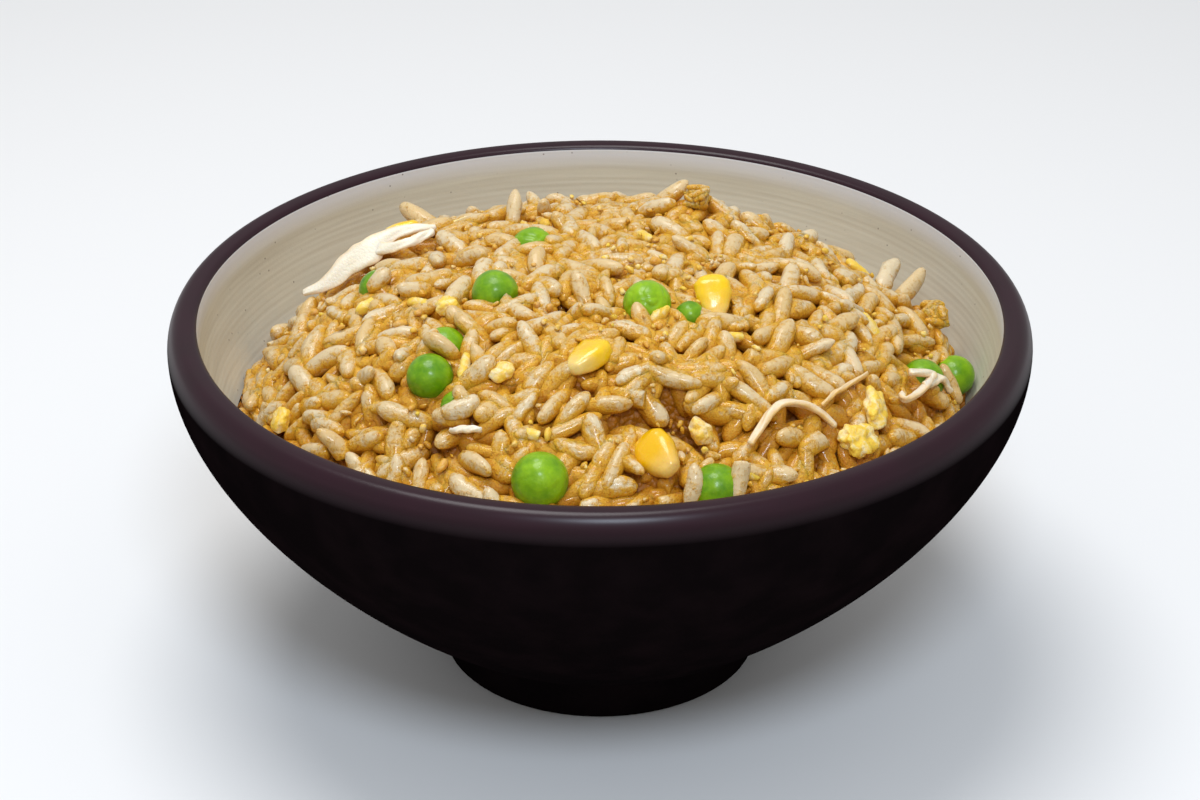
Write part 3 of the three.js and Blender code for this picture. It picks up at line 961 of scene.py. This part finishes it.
def kernel_skin(at, turn, tip, roll, size, lift, seed):
    """A kernel: a broad rounded crown, sides pressed flat, and a narrow foot."""
    rings, sides = 22, 28
    numbers = np.arange(len(KERNEL_SECTIONS))
    share = np.linspace(0, numbers[-1], rings)
    along, breadth, height = (np.interp(share, numbers, row) for row in zip(*KERNEL_SECTIONS))
    angle = np.arange(sides) * 2 * math.pi / sides
    cos, sin = np.cos(angle), np.sin(angle)
    squared = (np.abs(cos) ** 3 + np.abs(sin) ** 3) ** (-1 / 3)
    x = np.repeat(along[:, None], sides, axis=1)
    y = breadth[:, None] / 2 * cos * squared
    z = height[:, None] / 2 * sin * squared
    body = np.stack((x, y, z), axis=-1).reshape(-1, 3)
    points = np.vstack(((-KERNEL_HALF, 0, 0), body, (KERNEL_HALF + 0.1, 0, 0)))
    foot = (points[:, 0] + 5) / 10
    soft = noise_at(points, 3.2, seed, 2)
    points[:, 1:] *= (1 + 0.07 * soft)[:, None]
    basis = basis_on_heap(*at, turn, tip, roll)
    centre = lifted(*at, lift)
    return centre + points * size @ basis.T, tube_faces(rings, sides), foot


def clump_rows(at, size, turn, lift, rng, count=22):
    """Rows of short grains stuck together in one lump."""
    basis = basis_on_heap(*at, turn)
    centre = lifted(*at, lift)
    rows = []
    for _ in range(count):
        way = rng.normal(size=3)
        way /= np.linalg.norm(way)
        aside = np.cross(way, rng.normal(size=3))
        aside *= rng.uniform(1.4, 3) / np.linalg.norm(aside)
        middle = way * np.array(size) / 2 * rng.uniform(0.3, 0.7)
        ends = (centre + basis @ (middle + sign * aside) for sign in (-1, 1))
        rows.append(row_between(*ends, rng.uniform(1.3, 2.4)))
    return np.array(rows)


def crumb_skin(at, size, turn, lift, seed, roughness=0.3):
    """A curd: a ball broken up into lumps."""
    points, faces = ball(5)
    lumps = noise_at(points * size, 5.5, seed, 2)
    curds = noise_at(points * size, 1.8, seed + 9, 2)
    reach = 0.92 + roughness * lumps + 0.07 * curds
    shaped = points * np.array(size) / 2 * reach[:, None]
    basis = basis_on_heap(*at, turn)
    centre = lifted(*at, lift)
    return centre + shaped @ basis.T, faces


def smooth_path(knots, count):
    """Points on a Catmull-Rom curve through knots, and its unit tangents."""
    knots = np.array(knots, float)
    before = 2 * knots[0] - knots[1]
    after = 2 * knots[-1] - knots[-2]
    p = np.vstack((before, knots, after))
    share = np.linspace(0, len(knots) - 1 - 1e-9, count)
    i = share.astype(int)
    t = (share - i)[:, None]
    a, b, c, d = p[i], p[i + 1], p[i + 2], p[i + 3]
    path = 0.5 * (2 * b + (c - a) * t + (2 * a - 5 * b + 4 * c - d) * t**2)
    path += 0.5 * (3 * b - a - 3 * c + d) * t**3
    tangent = np.gradient(path[:, :3], axis=0)
    return path, tangent / np.linalg.norm(tangent, axis=1)[:, None]


def raised(knots):
    """Knots whose lifts are turned into heights."""
    return [(x, y, heap_top(x, y) + lift, breadth) for x, y, lift, breadth in knots]


def strip_skin(knots, thickness, lean, seed, rings=64, sides=30):
    """A torn strip: fibres run along it, and its edges are ragged."""
    path, tangent = smooth_path(raised(knots), rings + 2)
    across = np.cross((0, 0, 1), tangent)
    across /= np.linalg.norm(across, axis=1)[:, None]
    up = np.cross(tangent, across)
    lean = math.radians(lean)
    across, up = (
        across * math.cos(lean) + up * math.sin(lean),
        up * math.cos(lean) - across * math.sin(lean),
    )
    middle = slice(1, -1)
    angle = np.arange(sides) * 2 * math.pi / sides
    rng = np.random.default_rng(seed)
    fibres = rng.normal(0, 0.06, sides)[None, :]
    along = np.linspace(0, 9, rings)[:, None]
    ragged = 0.08 * np.sin(along * 1.9 + 2 * np.cos(angle)) + 0.04 * np.sin(along * 5 + angle)
    half = path[middle, 3:4] / 2 * (1 + ragged * np.abs(np.cos(angle)))
    thick = thickness / 2 * (1 + fibres + 0.25 * np.sin(along * 1.7 + angle * 3))
    y = half * np.cos(angle)
    z = thick * np.sin(angle)
    aside = y[..., None] * across[middle, None] + z[..., None] * up[middle, None]
    body = path[middle, None, :3] + aside
    points = np.vstack((path[:1, :3], body.reshape(-1, 3), path[-1:, :3]))
    edge = np.r_[1, np.tile(np.abs(np.cos(angle)), rings), 1]
    return points, tube_faces(rings, sides), edge


class FRIEDRICE_OT_peas(bpy.types.Operator):
    """Builds the green peas"""

    bl_idname = "friedrice.peas"
    bl_label = "Peas"
    PALEST = 0.9  # tone of the lightest pea
    STEP = 0.618  # golden section, which spreads the other tones evenly

    def execute(self, context):
        skins, tones = [], []
        for seed, name in enumerate(PEAS):
            skins.append(pea_skin(*place_of(name), seed))
            shade = 0.35 + 0.3 * ((seed * self.STEP) % 1)
            tones.append(self.PALEST if name == "pea_middle" else shade)
        material = pea_material(context.scene.friedrice_toppings)
        seat(add_joined("green_peas", skins, material, tone=tones), "pea", *PEAS)
        return {"FINISHED"}


class FRIEDRICE_OT_corn(bpy.types.Operator):
    """Builds the sweetcorn kernels"""

    bl_idname = "friedrice.corn"
    bl_label = "Corn"

    def execute(self, context):
        skins, feet = [], []
        for seed, entry in enumerate(KERNELS.values()):
            *skin, foot = kernel_skin(*entry, seed)
            skins.append(skin)
            feet.append(foot)
        tones = [0.35 if name == "corn_front" else 0.0 for name in KERNELS]
        material = corn_material(context.scene.friedrice_toppings)
        piece = add_joined("sweetcorn_kernels", skins, material, tip=feet, tone=tones)
        seat(piece, "corn", *KERNELS)
        return {"FINISHED"}


class FRIEDRICE_OT_egg(bpy.types.Operator):
    """Builds the scrambled egg and the browned crusts"""

    bl_idname = "friedrice.egg"
    bl_label = "Egg"

    def execute(self, context):
        eggs = {key: entry for key, entry in CRUMBS.items() if key.startswith("egg")}
        skins = [crumb_skin(*entry[:4], seed + 3) for seed, entry in enumerate(eggs.values())]
        tones = [browning for *_, browning in eggs.values()]
        material = egg_material(context.scene.friedrice_toppings)
        seat(add_joined("egg_pieces", skins, material, tone=tones), "egg", *eggs)
        self.crusts(context.scene.friedrice_rice)
        return {"FINISHED"}

    def crusts(self, settings):
        """Lumps of short grains, browned together."""
        rng = np.random.default_rng(settings.seed + 1)
        crusts = {key: entry for key, entry in CRUMBS.items() if key.startswith("crust")}
        rows = np.vstack([clump_rows(*entry[:4], rng) for entry in crusts.values()])
        points, faces, values, each = grain_skins(rows, rng, broken=0.3, ragged=1.5)
        values["tone"] = np.repeat(rng.random(len(rows)), each)
        values["sauce"] = np.repeat(rng.uniform(0.2, 1, len(rows)), each)
        # No painted gap shade on the crusts, and an even share of the painted contact shade.
        values["cavity"] = np.zeros(len(points))
        values["near"] = np.full(len(points), 0.5)
        material = rice_material(settings, "browned_rice")
        seat(add_mesh("browned_crusts", points, faces, material, values), "crust", *crusts)


class FRIEDRICE_OT_shreds(bpy.types.Operator):
    """Builds the pale shreds and the egg ribbons"""

    bl_idname = "friedrice.shreds"
    bl_label = "Shreds"

    def execute(self, context):
        material = shred_material(context.scene.friedrice_toppings)
        for slot, name in (("chicken", "pale_shreds"), ("egg", "egg_ribbons")):
            chosen = [strip for strip in STRIPS if strip.startswith(slot)]
            skins, edges, tones = [], [], []
            for strip, *knots in ARMS:
                if strip not in chosen:
                    continue
                thickness, tone, lean = STRIPS[strip]
                *skin, edge = strip_skin(knots, thickness, lean, chosen.index(strip))
                skins.append(skin)
                edges.append(edge)
                tones.append(tone)
            piece = add_joined(name, skins, material, tip=edges, tone=tones)
            seat(piece, slot, *chosen)
        return {"FINISHED"}


# ---- Rice ----


def row_between(start, end, width, flat=1.0):
    """The row of a thing that reaches from start to end."""
    a, b = np.array(start, float), np.array(end, float)
    dx, dy, dz = b - a
    length = float(np.linalg.norm(b - a))
    return (*((a + b) / 2), math.atan2(dy, dx), math.asin(dz / length), length, width, flat)


def topping_rows():
    """Rows of all toppings, each with the share of it that is kept clear of grains."""
    rows = []
    for name in PEAS:
        centre, radius = place_of(name)
        hidden = any(word in name for word in ("covered", "small", "far", "crown"))
        rows.append(((*centre, 0, 0, 2 * radius, 2 * radius, 1.0), 0.3 if hidden else 0.75))
    for at, turn, tip, roll, size, lift in KERNELS.values():
        centre = lifted(*at, lift)
        reach = basis_on_heap(*at, turn, tip, roll)[:, 0] * KERNEL_HALF * size
        ends = centre - reach, centre + reach
        rows.append((row_between(*ends, KERNEL_WIDTH * size, KERNEL_FLATNESS), 0.8))
    for at, size, turn, lift, _ in CRUMBS.values():
        centre = np.array((*at, heap_top(*at) + lift))
        reach = basis_on_heap(*at, turn)[:, 0] * size[0] / 2
        ends = centre - reach, centre + reach
        rows.append((row_between(*ends, size[1], size[2] / size[1]), 0.85))
    for strip, *knots in ARMS:
        path = smooth_path(raised(knots), 20)[0]
        for here, there in zip(path[:-1], path[1:]):
            width = max(here[3], 1.4)
            flat = STRIPS[strip][0] / width
            rows.append((row_between(here[:3], there[:3], width, flat), 0.9))
    return rows


def grain_frames(places, rng):
    """Columns along, across and up for each grain, rolled about its length by chance."""
    turn, tilt = places[:, 3], places[:, 4]
    along = np.stack(
        (np.cos(turn) * np.cos(tilt), np.sin(turn) * np.cos(tilt), np.sin(tilt)), axis=-1
    )
    across = np.stack((-np.sin(turn), np.cos(turn), np.zeros_like(turn)), axis=-1)
    up = np.cross(along, across)
    roll = rng.uniform(0, 2 * math.pi, len(places))[:, None]
    cos, sin = np.cos(roll), np.sin(roll)
    return along, across * cos + up * sin, up * cos - across * sin


def grain_skins(places, rng, rings=12, sides=10, broken=0.0, ragged=1.0):
    """Skins of cooked grains: tapered blunt ends, a slight bend and uneven sides.

    Gives points, faces, values for the points, and how many points a grain has.
    """
    count = len(places)
    t = np.sin(np.linspace(-1, 1, rings) * math.pi / 2 * 0.94)
    t = np.r_[-1, np.repeat(t, sides), 1]
    angle = np.r_[0, np.tile(np.arange(sides) * 2 * math.pi / sides, rings), 0]
    ends = np.r_[0, np.ones(rings * sides), 0]

    def pick(low, high):
        return rng.uniform(low, high, count)[:, None]

    blunt = pick(2.3, 3.8)
    fullness = np.maximum(1 - np.abs(t) ** blunt, 0) ** pick(0.46, 0.58) * ends
    fullness = fullness * (1 - pick(-0.03, 0.06) * np.exp(-((t - pick(-0.5, 0.5)) ** 2) / 0.05))
    fullness = fullness * (1 + pick(-0.12, 0.12) * t)
    wave = np.sin(3 * t * pick(1, 2.4) + 2 * angle + pick(0, 6))
    ripple = np.sin(7 * t + 3 * angle + pick(0, 6))
    fullness = fullness * (1 + ragged * (pick(0, 0.09) * wave + pick(0, 0.04) * ripple))
    length, width = places[:, 5:6], places[:, 6:7]
    x = t * length / 2
    y = fullness * width / 2 * np.cos(angle)
    z = fullness * width / 2 * np.sin(angle) * pick(0.74, 0.96)
    y = y + pick(-0.1, 0.1) * length * (t**2 - 0.4)
    cut = np.where(rng.random(count) < broken, rng.uniform(0.2, 0.6, count), 2.0)[:, None]
    x = np.minimum(x, (cut + 0.25 * y / width) * length / 2)
    along, across, up = grain_frames(places, rng)
    aside = y[..., None] * across[:, None] + z[..., None] * up[:, None]
    points = places[:, None, :3] + x[..., None] * along[:, None] + aside
    values = {
        "tip": np.tile(np.abs(t), count),
        "side": (0.5 + 0.5 * np.cos(2 * angle + pick(0, 6))).ravel(),
    }
    faces = np.array([f for f in tube_faces(rings, sides) if len(f) == 4])
    caps = np.array([f for f in tube_faces(rings, sides) if len(f) == 3])
    starts = (np.arange(count) * len(t))[:, None, None]
    every = (starts + faces).reshape(-1, 4).tolist() + (starts + caps).reshape(-1, 3).tolist()
    return points.reshape(-1, 3), every, values, len(t)


def nearness(points, owners, reach):
    """How near each point is to another grain: 0 beyond reach, and 1 where they touch."""
    places = points.tolist()
    tree = kdtree.KDTree(len(places))
    for number, place in enumerate(places):
        tree.insert(place, number)
    tree.balance()
    near = np.zeros(len(places))
    for number, (place, owner) in enumerate(zip(places, owners)):
        around = tree.find_range(place, reach)
        gaps = [gap for _, other, gap in around if owners[other] != owner]
        near[number] = 1 - min(gaps, default=reach) / reach
    return near


def heap_edge(angle):
    """Radius at which the heap's outline meets the bowl's wall, on each bearing."""
    radius = np.linspace(0.8 * HEAP_RADIUS, MOUTH_RADIUS - 1, 160)[:, None]
    above = heap_top(radius * np.cos(angle), radius * np.sin(angle)) > wall_height(radius)
    return np.where(above, radius, 0).max(axis=0)


CORE_DROP = 2.0  # how far the core lies under the gaps between the grains
GRIT_SIZE, GRIT_HEIGHT = 1.5, 0.9


def core_skin(pile):
    """Rice and sauce that fill the heap up to a little under the tops of the grains."""
    sides, rings, depth = 440, 190, 30
    angle = np.arange(sides) * 2 * math.pi / sides
    cos, sin = np.cos(angle), np.sin(angle)
    edge = heap_edge(angle) - WALL_GAP
    layers = []
    for share in np.linspace(0.1, 1, depth)[:-1]:
        r = share * edge
        layers.append(np.stack((r * cos, r * sin, wall_height(r) + WALL_GAP), axis=-1))
    for i in range(rings):
        r = edge * (rings - i) / rings
        x, y = r * cos, r * sin
        spots = zip(x.tolist(), y.tolist())
        places = [(a / GRIT_SIZE, b / GRIT_SIZE, 0) for a, b in spots]
        grit = np.array([noise.turbulence(place, 2, False) for place in places])
        z = pile.gaps[pile.cells(x, y)] - CORE_DROP + GRIT_HEIGHT * grit
        layers.append(np.stack((x, y, np.maximum(z, wall_height(r) + WALL_GAP)), axis=-1))
    first = (0, 0, BOWL_FLOOR_Z + WALL_GAP)
    last = (0, 0, layers[-1][:, 2].mean())
    points = np.vstack((first, np.vstack(layers), last))
    return points, [tuple(reversed(face)) for face in tube_faces(len(layers), sides)]


KINDS = (  # name, share of the grains, least and most sauce
    ("pale_grains", 0.3, 0.0, 0.25),
    ("golden_grains", 0.34, 0.2, 0.5),
    ("saucy_grains", 0.28, 0.4, 0.9),
    ("broken_grains", 0.08, 0.1, 0.7),
)


LAYERS = {  # spacing, least and most depth under the outline, spread of the tip, size
    "under": (3.1, (2.3, 4.1), 14, 1.0),
    "egg": (24, (0.6, 1.2), 12, 0.6),
    "clear": (9.5, (1.2, 2), 18, 1.0),
    "upper": (4.0, (0.9, 2.4), 18, 1.0),
}
JITTER = 0.35  # spread of a grain's place, as a share of the spacing
WALL_BAND = 5.0  # breadth of the strip by the wall, where the grains lie along it


def layer_rows(pile, settings, rng, layer):
    """Rows of a layer of grains, scattered over the heap. They sink into each other."""
    spacing, sunk, tip, scale = LAYERS[layer]
    length, width = scale * settings.grain_length / MM, scale * settings.grain_width / MM
    rows = []
    steps = np.arange(-HEAP_RADIUS, HEAP_RADIUS, spacing)
    for x, y in np.array(np.meshgrid(steps, steps)).reshape(2, -1).T:
        x, y = rng.normal((x, y), JITTER * spacing)
        if math.hypot(x, y) > HEAP_RADIUS + 2 or rng.random() > 0.75 / heap_normal(x, y)[2]:
            continue
        if any(math.hypot(x - at_x, y - at_y) < radius for at_x, at_y, radius in HOLLOWS):
            continue
        by_wall = math.hypot(x, y) > HEAP_RADIUS - WALL_BAND
        centre = lifted(x, y, -rng.uniform(*sunk) * (0.6 if by_wall else 1))
        turn = rng.uniform(0, 360)
        if by_wall:
            turn = math.degrees(math.atan2(y, x)) + rng.normal(90, 22)
        share = rng.uniform(0.4, 0.56)
        reach = basis_on_heap(x, y, turn, rng.normal(0, tip))[:, 0] * length * share
        ends = centre - reach, centre + reach
        row = row_between(*ends, width * rng.normal(1, 0.1))
        wall = max(math.hypot(*end[:2]) - wall_radius(end[2]) for end in ends)
        if wall < -0.4 * width and pile.taken[pile.footprint(row)[0]].mean() < 0.1:
            rows.append(row)
    return rows


COVER_LEAN = math.radians(28)  # lean of the plane that COVERS is given in
COVERS = {  # right, up, turn, length and width of the grains against the front of a topping
    "pea_crown": ((1.5, -0.3, 3, 9.5, 3.6), (0.5, -3.1, -10, 9, 3.6)),
    "pea_left_covered": (
        (-0.2, 0.3, -35, 8, 4),
        (-1.3, -2.4, -20, 8, 3.6),
        (-2.8, 0.7, 60, 6.5, 3.2),
    ),
    "pea_left_small": ((0.9, -0.2, 20, 7.5, 4), (-0.9, -2, -15, 7, 3.6), (1.6, 1.3, -50, 6, 3.2)),
    "pea_far_left": ((0.4, 1.5, 50, 6, 4.6), (1.2, -1.4, -50, 8, 4), (-1.3, -2.3, 20, 7, 3.4)),
    "pea_front_right": ((4, 1.9, 82, 9.5, 3.8), (-4.2, 0.7, 80, 8, 3.4)),
    "pea_right": ((-1.3, -2.3, 10, 8.5, 3.8), (1.5, -3.2, -20, 7, 3.6)),
    "pea_right_wall": ((-1.2, -1.6, -65, 8.5, 3),),
    "corn_middle": ((2, -5.3, 85, 6, 3.6),),
}


def cover_rows():
    """Rows of the grains that lie against the front of a topping."""
    cos, sin = math.cos(COVER_LEAN), math.sin(COVER_LEAN)
    right, up, ahead = np.array(((1, 0, 0), (0, sin, cos), (0, -cos, sin)))
    rows = []
    for name, grains in COVERS.items():
        centre, radius = place_of(name)
        for aside, above, turn, length, width in grains:
            reach = math.sqrt(max(radius**2 - aside**2 - above**2, 0)) + 0.3 * width
            middle = centre + right * aside + up * above + ahead * reach
            turn = math.radians(turn)
            half = (right * math.cos(turn) + up * math.sin(turn)) * length / 2
            rows.append(row_between(middle - half, middle + half, width))
    return rows


def standing_rows(width):
    """Rows of the grains that stand clear of the heap."""
    base = np.array((0, 0, MOUTH_Z))
    return [row_between(start + base, end + base, width) for start, end in STANDING_GRAINS]


class FRIEDRICE_OT_rice(bpy.types.Operator):
    """Builds the core and lays the grains on it, round the toppings"""

    bl_idname = "friedrice.rice"
    bl_label = "Rice"
    CLEAR = 0.55  # share of a grain that is kept clear of others
    TOUCH = 1.1  # how near another grain has to be for the painted contact shade to deepen the colour
    CRUMBS = 500  # how many places are tried for a crumb of egg, rice or sauce

    def execute(self, context):
        settings = context.scene.friedrice_rice
        rng = np.random.default_rng(settings.seed)
        pile = Pile(settings.cover / MM)
        toppings = topping_rows()
        standing = standing_rows(settings.grain_width / MM)
        covers = cover_rows()

        under = layer_rows(pile, settings, rng, "under")
        for row in under:
            pile.add(row)
        for row, share in toppings + [(row, self.CLEAR) for row in standing + covers]:
            pile.add(row)
            pile.keep_clear(row, share)
        egg = layer_rows(pile, settings, rng, "egg")
        clear = layer_rows(pile, settings, rng, "clear")
        for row in egg + clear:
            pile.add(row)
            pile.keep_clear(row, self.CLEAR)
        upper = layer_rows(pile, settings, rng, "upper")
        for row in upper:
            pile.add(row)
        grains = [row for row in under + upper if pile.shows(row)]
        clear += covers
        placed = clear[::2], clear[1::2]
        pile.settle()

        core = add_mesh("heap_core", *core_skin(pile), core_material(settings))
        seat(core, "rice", "rice_heap")
        self.build(settings, rng, pile, grains, placed, standing)
        self.granules(settings, rng, pile)
        self.bits(rng, pile, egg)
        return {"FINISHED"}

    def build(self, settings, rng, pile, rows, placed, standing):
        """One piece for each kind of grain. Those in placed and standing have a kind already."""
        material = rice_material(settings)
        kind = rng.choice(len(KINDS), len(rows), p=[share for _, share, _, _ in KINDS])
        built, owners = [], []
        for number, (name, _, least, most) in enumerate(KINDS):
            chosen = [row for row, k in zip(rows, kind) if k == number]
            if number < len(placed):
                chosen += placed[number]
            if name == "pale_grains":
                chosen += standing
            chosen = np.array(chosen)
            broken = 0.9 if name == "broken_grains" else 0.04
            points, faces, values, each = grain_skins(chosen, rng, broken=broken)
            values["tone"] = np.repeat(rng.random(len(chosen)), each)
            # More sauce near the patch: partly sauce, partly painted shade round the front hollow.
            (at_x, at_y), (breadth, depth) = SAUCE_AND_SHADE_PATCH
            reach = ((chosen[:, 0] - at_x) / breadth) ** 2 + ((chosen[:, 1] - at_y) / depth) ** 2
            sauce = rng.uniform(least, most, len(chosen)) + 0.5 * np.exp(-reach) - 0.15
            values["sauce"] = np.repeat(sauce, each)
            # Depth in the gaps, for the painted shade there.
            values["cavity"] = pile.buried(points)
            built.append((name, points, faces, values))
            owners += [number * 1e5 + i // each for i in range(len(points))]
        # Nearness to other grains, for the painted shade where they touch.
        near = nearness(np.vstack([points for _, points, _, _ in built]), owners, self.TOUCH)
        for name, points, faces, values in built:
            values["near"], near = near[: len(points)], near[len(points) :]
            seat(add_mesh(name, points, faces, material, values), "rice")

    def granules(self, settings, rng, pile):
        """Crushed rice that fills the gaps between the grains."""
        low = pile.even - pile.top > 0.6
        spots = (np.argwhere(low) - pile.middle) * pile.CELL
        rows = []
        for x, y in spots[rng.integers(len(spots), size=settings.granules)]:
            if math.hypot(x, y) > HEAP_RADIUS - 1:
                continue
            size = rng.uniform(0.6, 1.2) if rng.random() < 0.7 else rng.uniform(1.2, 2.2)
            turns = rng.uniform(0, math.pi, 2)
            row = pile.drop(x, y, size * rng.uniform(1.3, 2.6), size, turns, 1.2, 0.5)
            if row:
                rows.append(row)
        rows = np.array(rows)
        points, faces, values, each = grain_skins(rows, rng, 5, 7, broken=0.5, ragged=2.5)
        values["tone"] = np.repeat(rng.random(len(rows)), each)
        values["sauce"] = np.repeat(rng.uniform(0.5, 0.9, len(rows)), each)
        # An even share of the painted contact shade, and painted gap shade by depth.
        values["near"] = np.full(len(points), 0.4)
        values["cavity"] = pile.buried(points)
        seat(add_mesh("rice_granules", points, faces, rice_material(settings), values), "rice")

    def bits(self, rng, pile, egg):
        """Crumbs of egg, rice and browned sauce that stick to the grains."""
        rows = []
        for _ in range(self.CRUMBS):
            radius = (HEAP_RADIUS - 1) * math.sqrt(rng.random())
            angle = rng.uniform(0, 2 * math.pi)
            size = rng.uniform(0.6, 1.3) * rng.choice((1, 1, 1.7))
            spot = (radius * math.cos(angle), radius * math.sin(angle))
            row = pile.drop(*spot, size * rng.uniform(1, 2), size, (angle,), 1.5, 0.3)
            if row:
                rows.append(row)
        material = egg_material(bpy.context.scene.friedrice_toppings)
        for name, chosen, sides, share in (
            ("egg_and_rice_bits", np.array(rows), 8, 1.0),
            ("egg_granules", np.array(egg), 16, 0.2),
        ):
            skins = grain_skins(chosen, rng, sides - 2, sides, broken=0.5, ragged=3.0)
            points, faces, _, each = skins
            points = points + rng.normal(0, 0.05, points.shape)
            brown = share * rng.choice((0.15, 0.4, 0.8), len(chosen), p=(0.25, 0.4, 0.35))
            seat(add_mesh(name, points, faces, material, {"tone": np.repeat(brown, each)}), "egg")


# ---- Stage ----


def add_area_light(name, place, aim, size, power, colour=(1, 1, 1)):
    """A round soft light that faces its aim."""
    light = bpy.data.lights.new(name, "AREA")
    light.color = colour
    light.shape = "DISK"
    light.size = size
    light.energy = power
    lamp = bpy.data.objects.new(name, light)
    lamp.location = place
    lamp.rotation_euler = (Vector(aim) - Vector(place)).to_track_quat("-Z", "Y").to_euler()
    bpy.context.scene.collection.objects.link(lamp)


class FRIEDRICE_OT_stage(bpy.types.Operator):
    """Builds the floor, the lights and the camera"""

    bl_idname = "friedrice.stage"
    bl_label = "Stage"
    ELEVATION = math.radians(27.98)
    DISTANCE = 0.55
    SENSOR = 36
    LENS = 84.82
    AIM_Z = (MOUTH_Z - 20.75) * MM
    FLOOR_REACH = 4000
    FLOOR_Z = -0.2

    def execute(self, context):
        settings = context.scene.friedrice_stage
        self.add_floor(settings)
        self.add_lights(settings)
        self.add_camera()
        context.scene.view_settings.view_transform = "Standard"
        return {"FINISHED"}

    def add_floor(self, settings):
        sides = (-1, -1), (1, -1), (1, 1), (-1, 1)
        corners = [(x * self.FLOOR_REACH, y * self.FLOOR_REACH, self.FLOOR_Z) for x, y in sides]
        add_mesh("floor", corners, [(0, 1, 2, 3)], floor_material(settings))

    def add_lights(self, settings):
        aim = (0, 0, MOUTH_Z * MM)
        add_area_light("key", (-0.1, 0.08, 0.8), aim, 0.45, settings.key_power)
        add_area_light("fill", (0.05, -0.6, 0.72), aim, 0.24, settings.fill_power, (0.75, 0.86, 1))
        world = bpy.data.worlds.new("surround")
        world.use_nodes = True
        background = world.node_tree.nodes["Background"]
        background.inputs["Color"].default_value = (1, 1, 1, 1)
        background.inputs["Strength"].default_value = settings.surround
        bpy.context.scene.world = world

    def add_camera(self):
        camera = bpy.data.cameras.new("camera")
        camera.lens = self.LENS
        camera.sensor_width = self.SENSOR
        holder = bpy.data.objects.new("camera", camera)
        away = self.DISTANCE * math.cos(self.ELEVATION)
        holder.location = (0, -away, self.AIM_Z + self.DISTANCE * math.sin(self.ELEVATION))
        holder.rotation_euler = (math.pi / 2 - self.ELEVATION, 0, 0)
        bpy.context.scene.collection.objects.link(holder)
        bpy.context.scene.camera = holder


# ---- Add-on ----

SETTINGS = {
    "friedrice_bowl": BowlSettings,
    "friedrice_rice": RiceSettings,
    "friedrice_toppings": ToppingSettings,
    "friedrice_stage": StageSettings,
}
OPERATORS = (
    FRIEDRICE_OT_bowl,
    FRIEDRICE_OT_peas,
    FRIEDRICE_OT_corn,
    FRIEDRICE_OT_egg,
    FRIEDRICE_OT_shreds,
    FRIEDRICE_OT_rice,
    FRIEDRICE_OT_stage,
)


class FRIEDRICE_PT_panel(bpy.types.Panel):
    """Lists the steps that build the bowl of rice"""

    bl_label = "Fried Rice"
    bl_idname = "FRIEDRICE_PT_panel"
    bl_space_type = "VIEW_3D"
    bl_region_type = "UI"
    bl_category = "Fried Rice"

    def draw(self, context):
        for group in SETTINGS:
            box = self.layout.box()
            for name in getattr(context.scene, group).bl_rna.properties.keys():
                if name not in ("rna_type", "name"):
                    box.prop(getattr(context.scene, group), name)
        for operator in OPERATORS:
            self.layout.operator(operator.bl_idname)


def register():
    for cls in (*SETTINGS.values(), *OPERATORS, FRIEDRICE_PT_panel):
        bpy.utils.register_class(cls)
    for name, group in SETTINGS.items():
        setattr(bpy.types.Scene, name, bpy.props.PointerProperty(type=group))


def unregister():
    for name in SETTINGS:
        delattr(bpy.types.Scene, name)
    for cls in (FRIEDRICE_PT_panel, *reversed(OPERATORS), *SETTINGS.values()):
        bpy.utils.unregister_class(cls)


def main():
    register()
    bpy.ops.friedrice.bowl()
    bpy.ops.friedrice.peas()
    bpy.ops.friedrice.corn()
    bpy.ops.friedrice.egg()
    bpy.ops.friedrice.shreds()
    bpy.ops.friedrice.rice()
    bpy.ops.friedrice.stage()


if __name__ == "__main__":
    main()
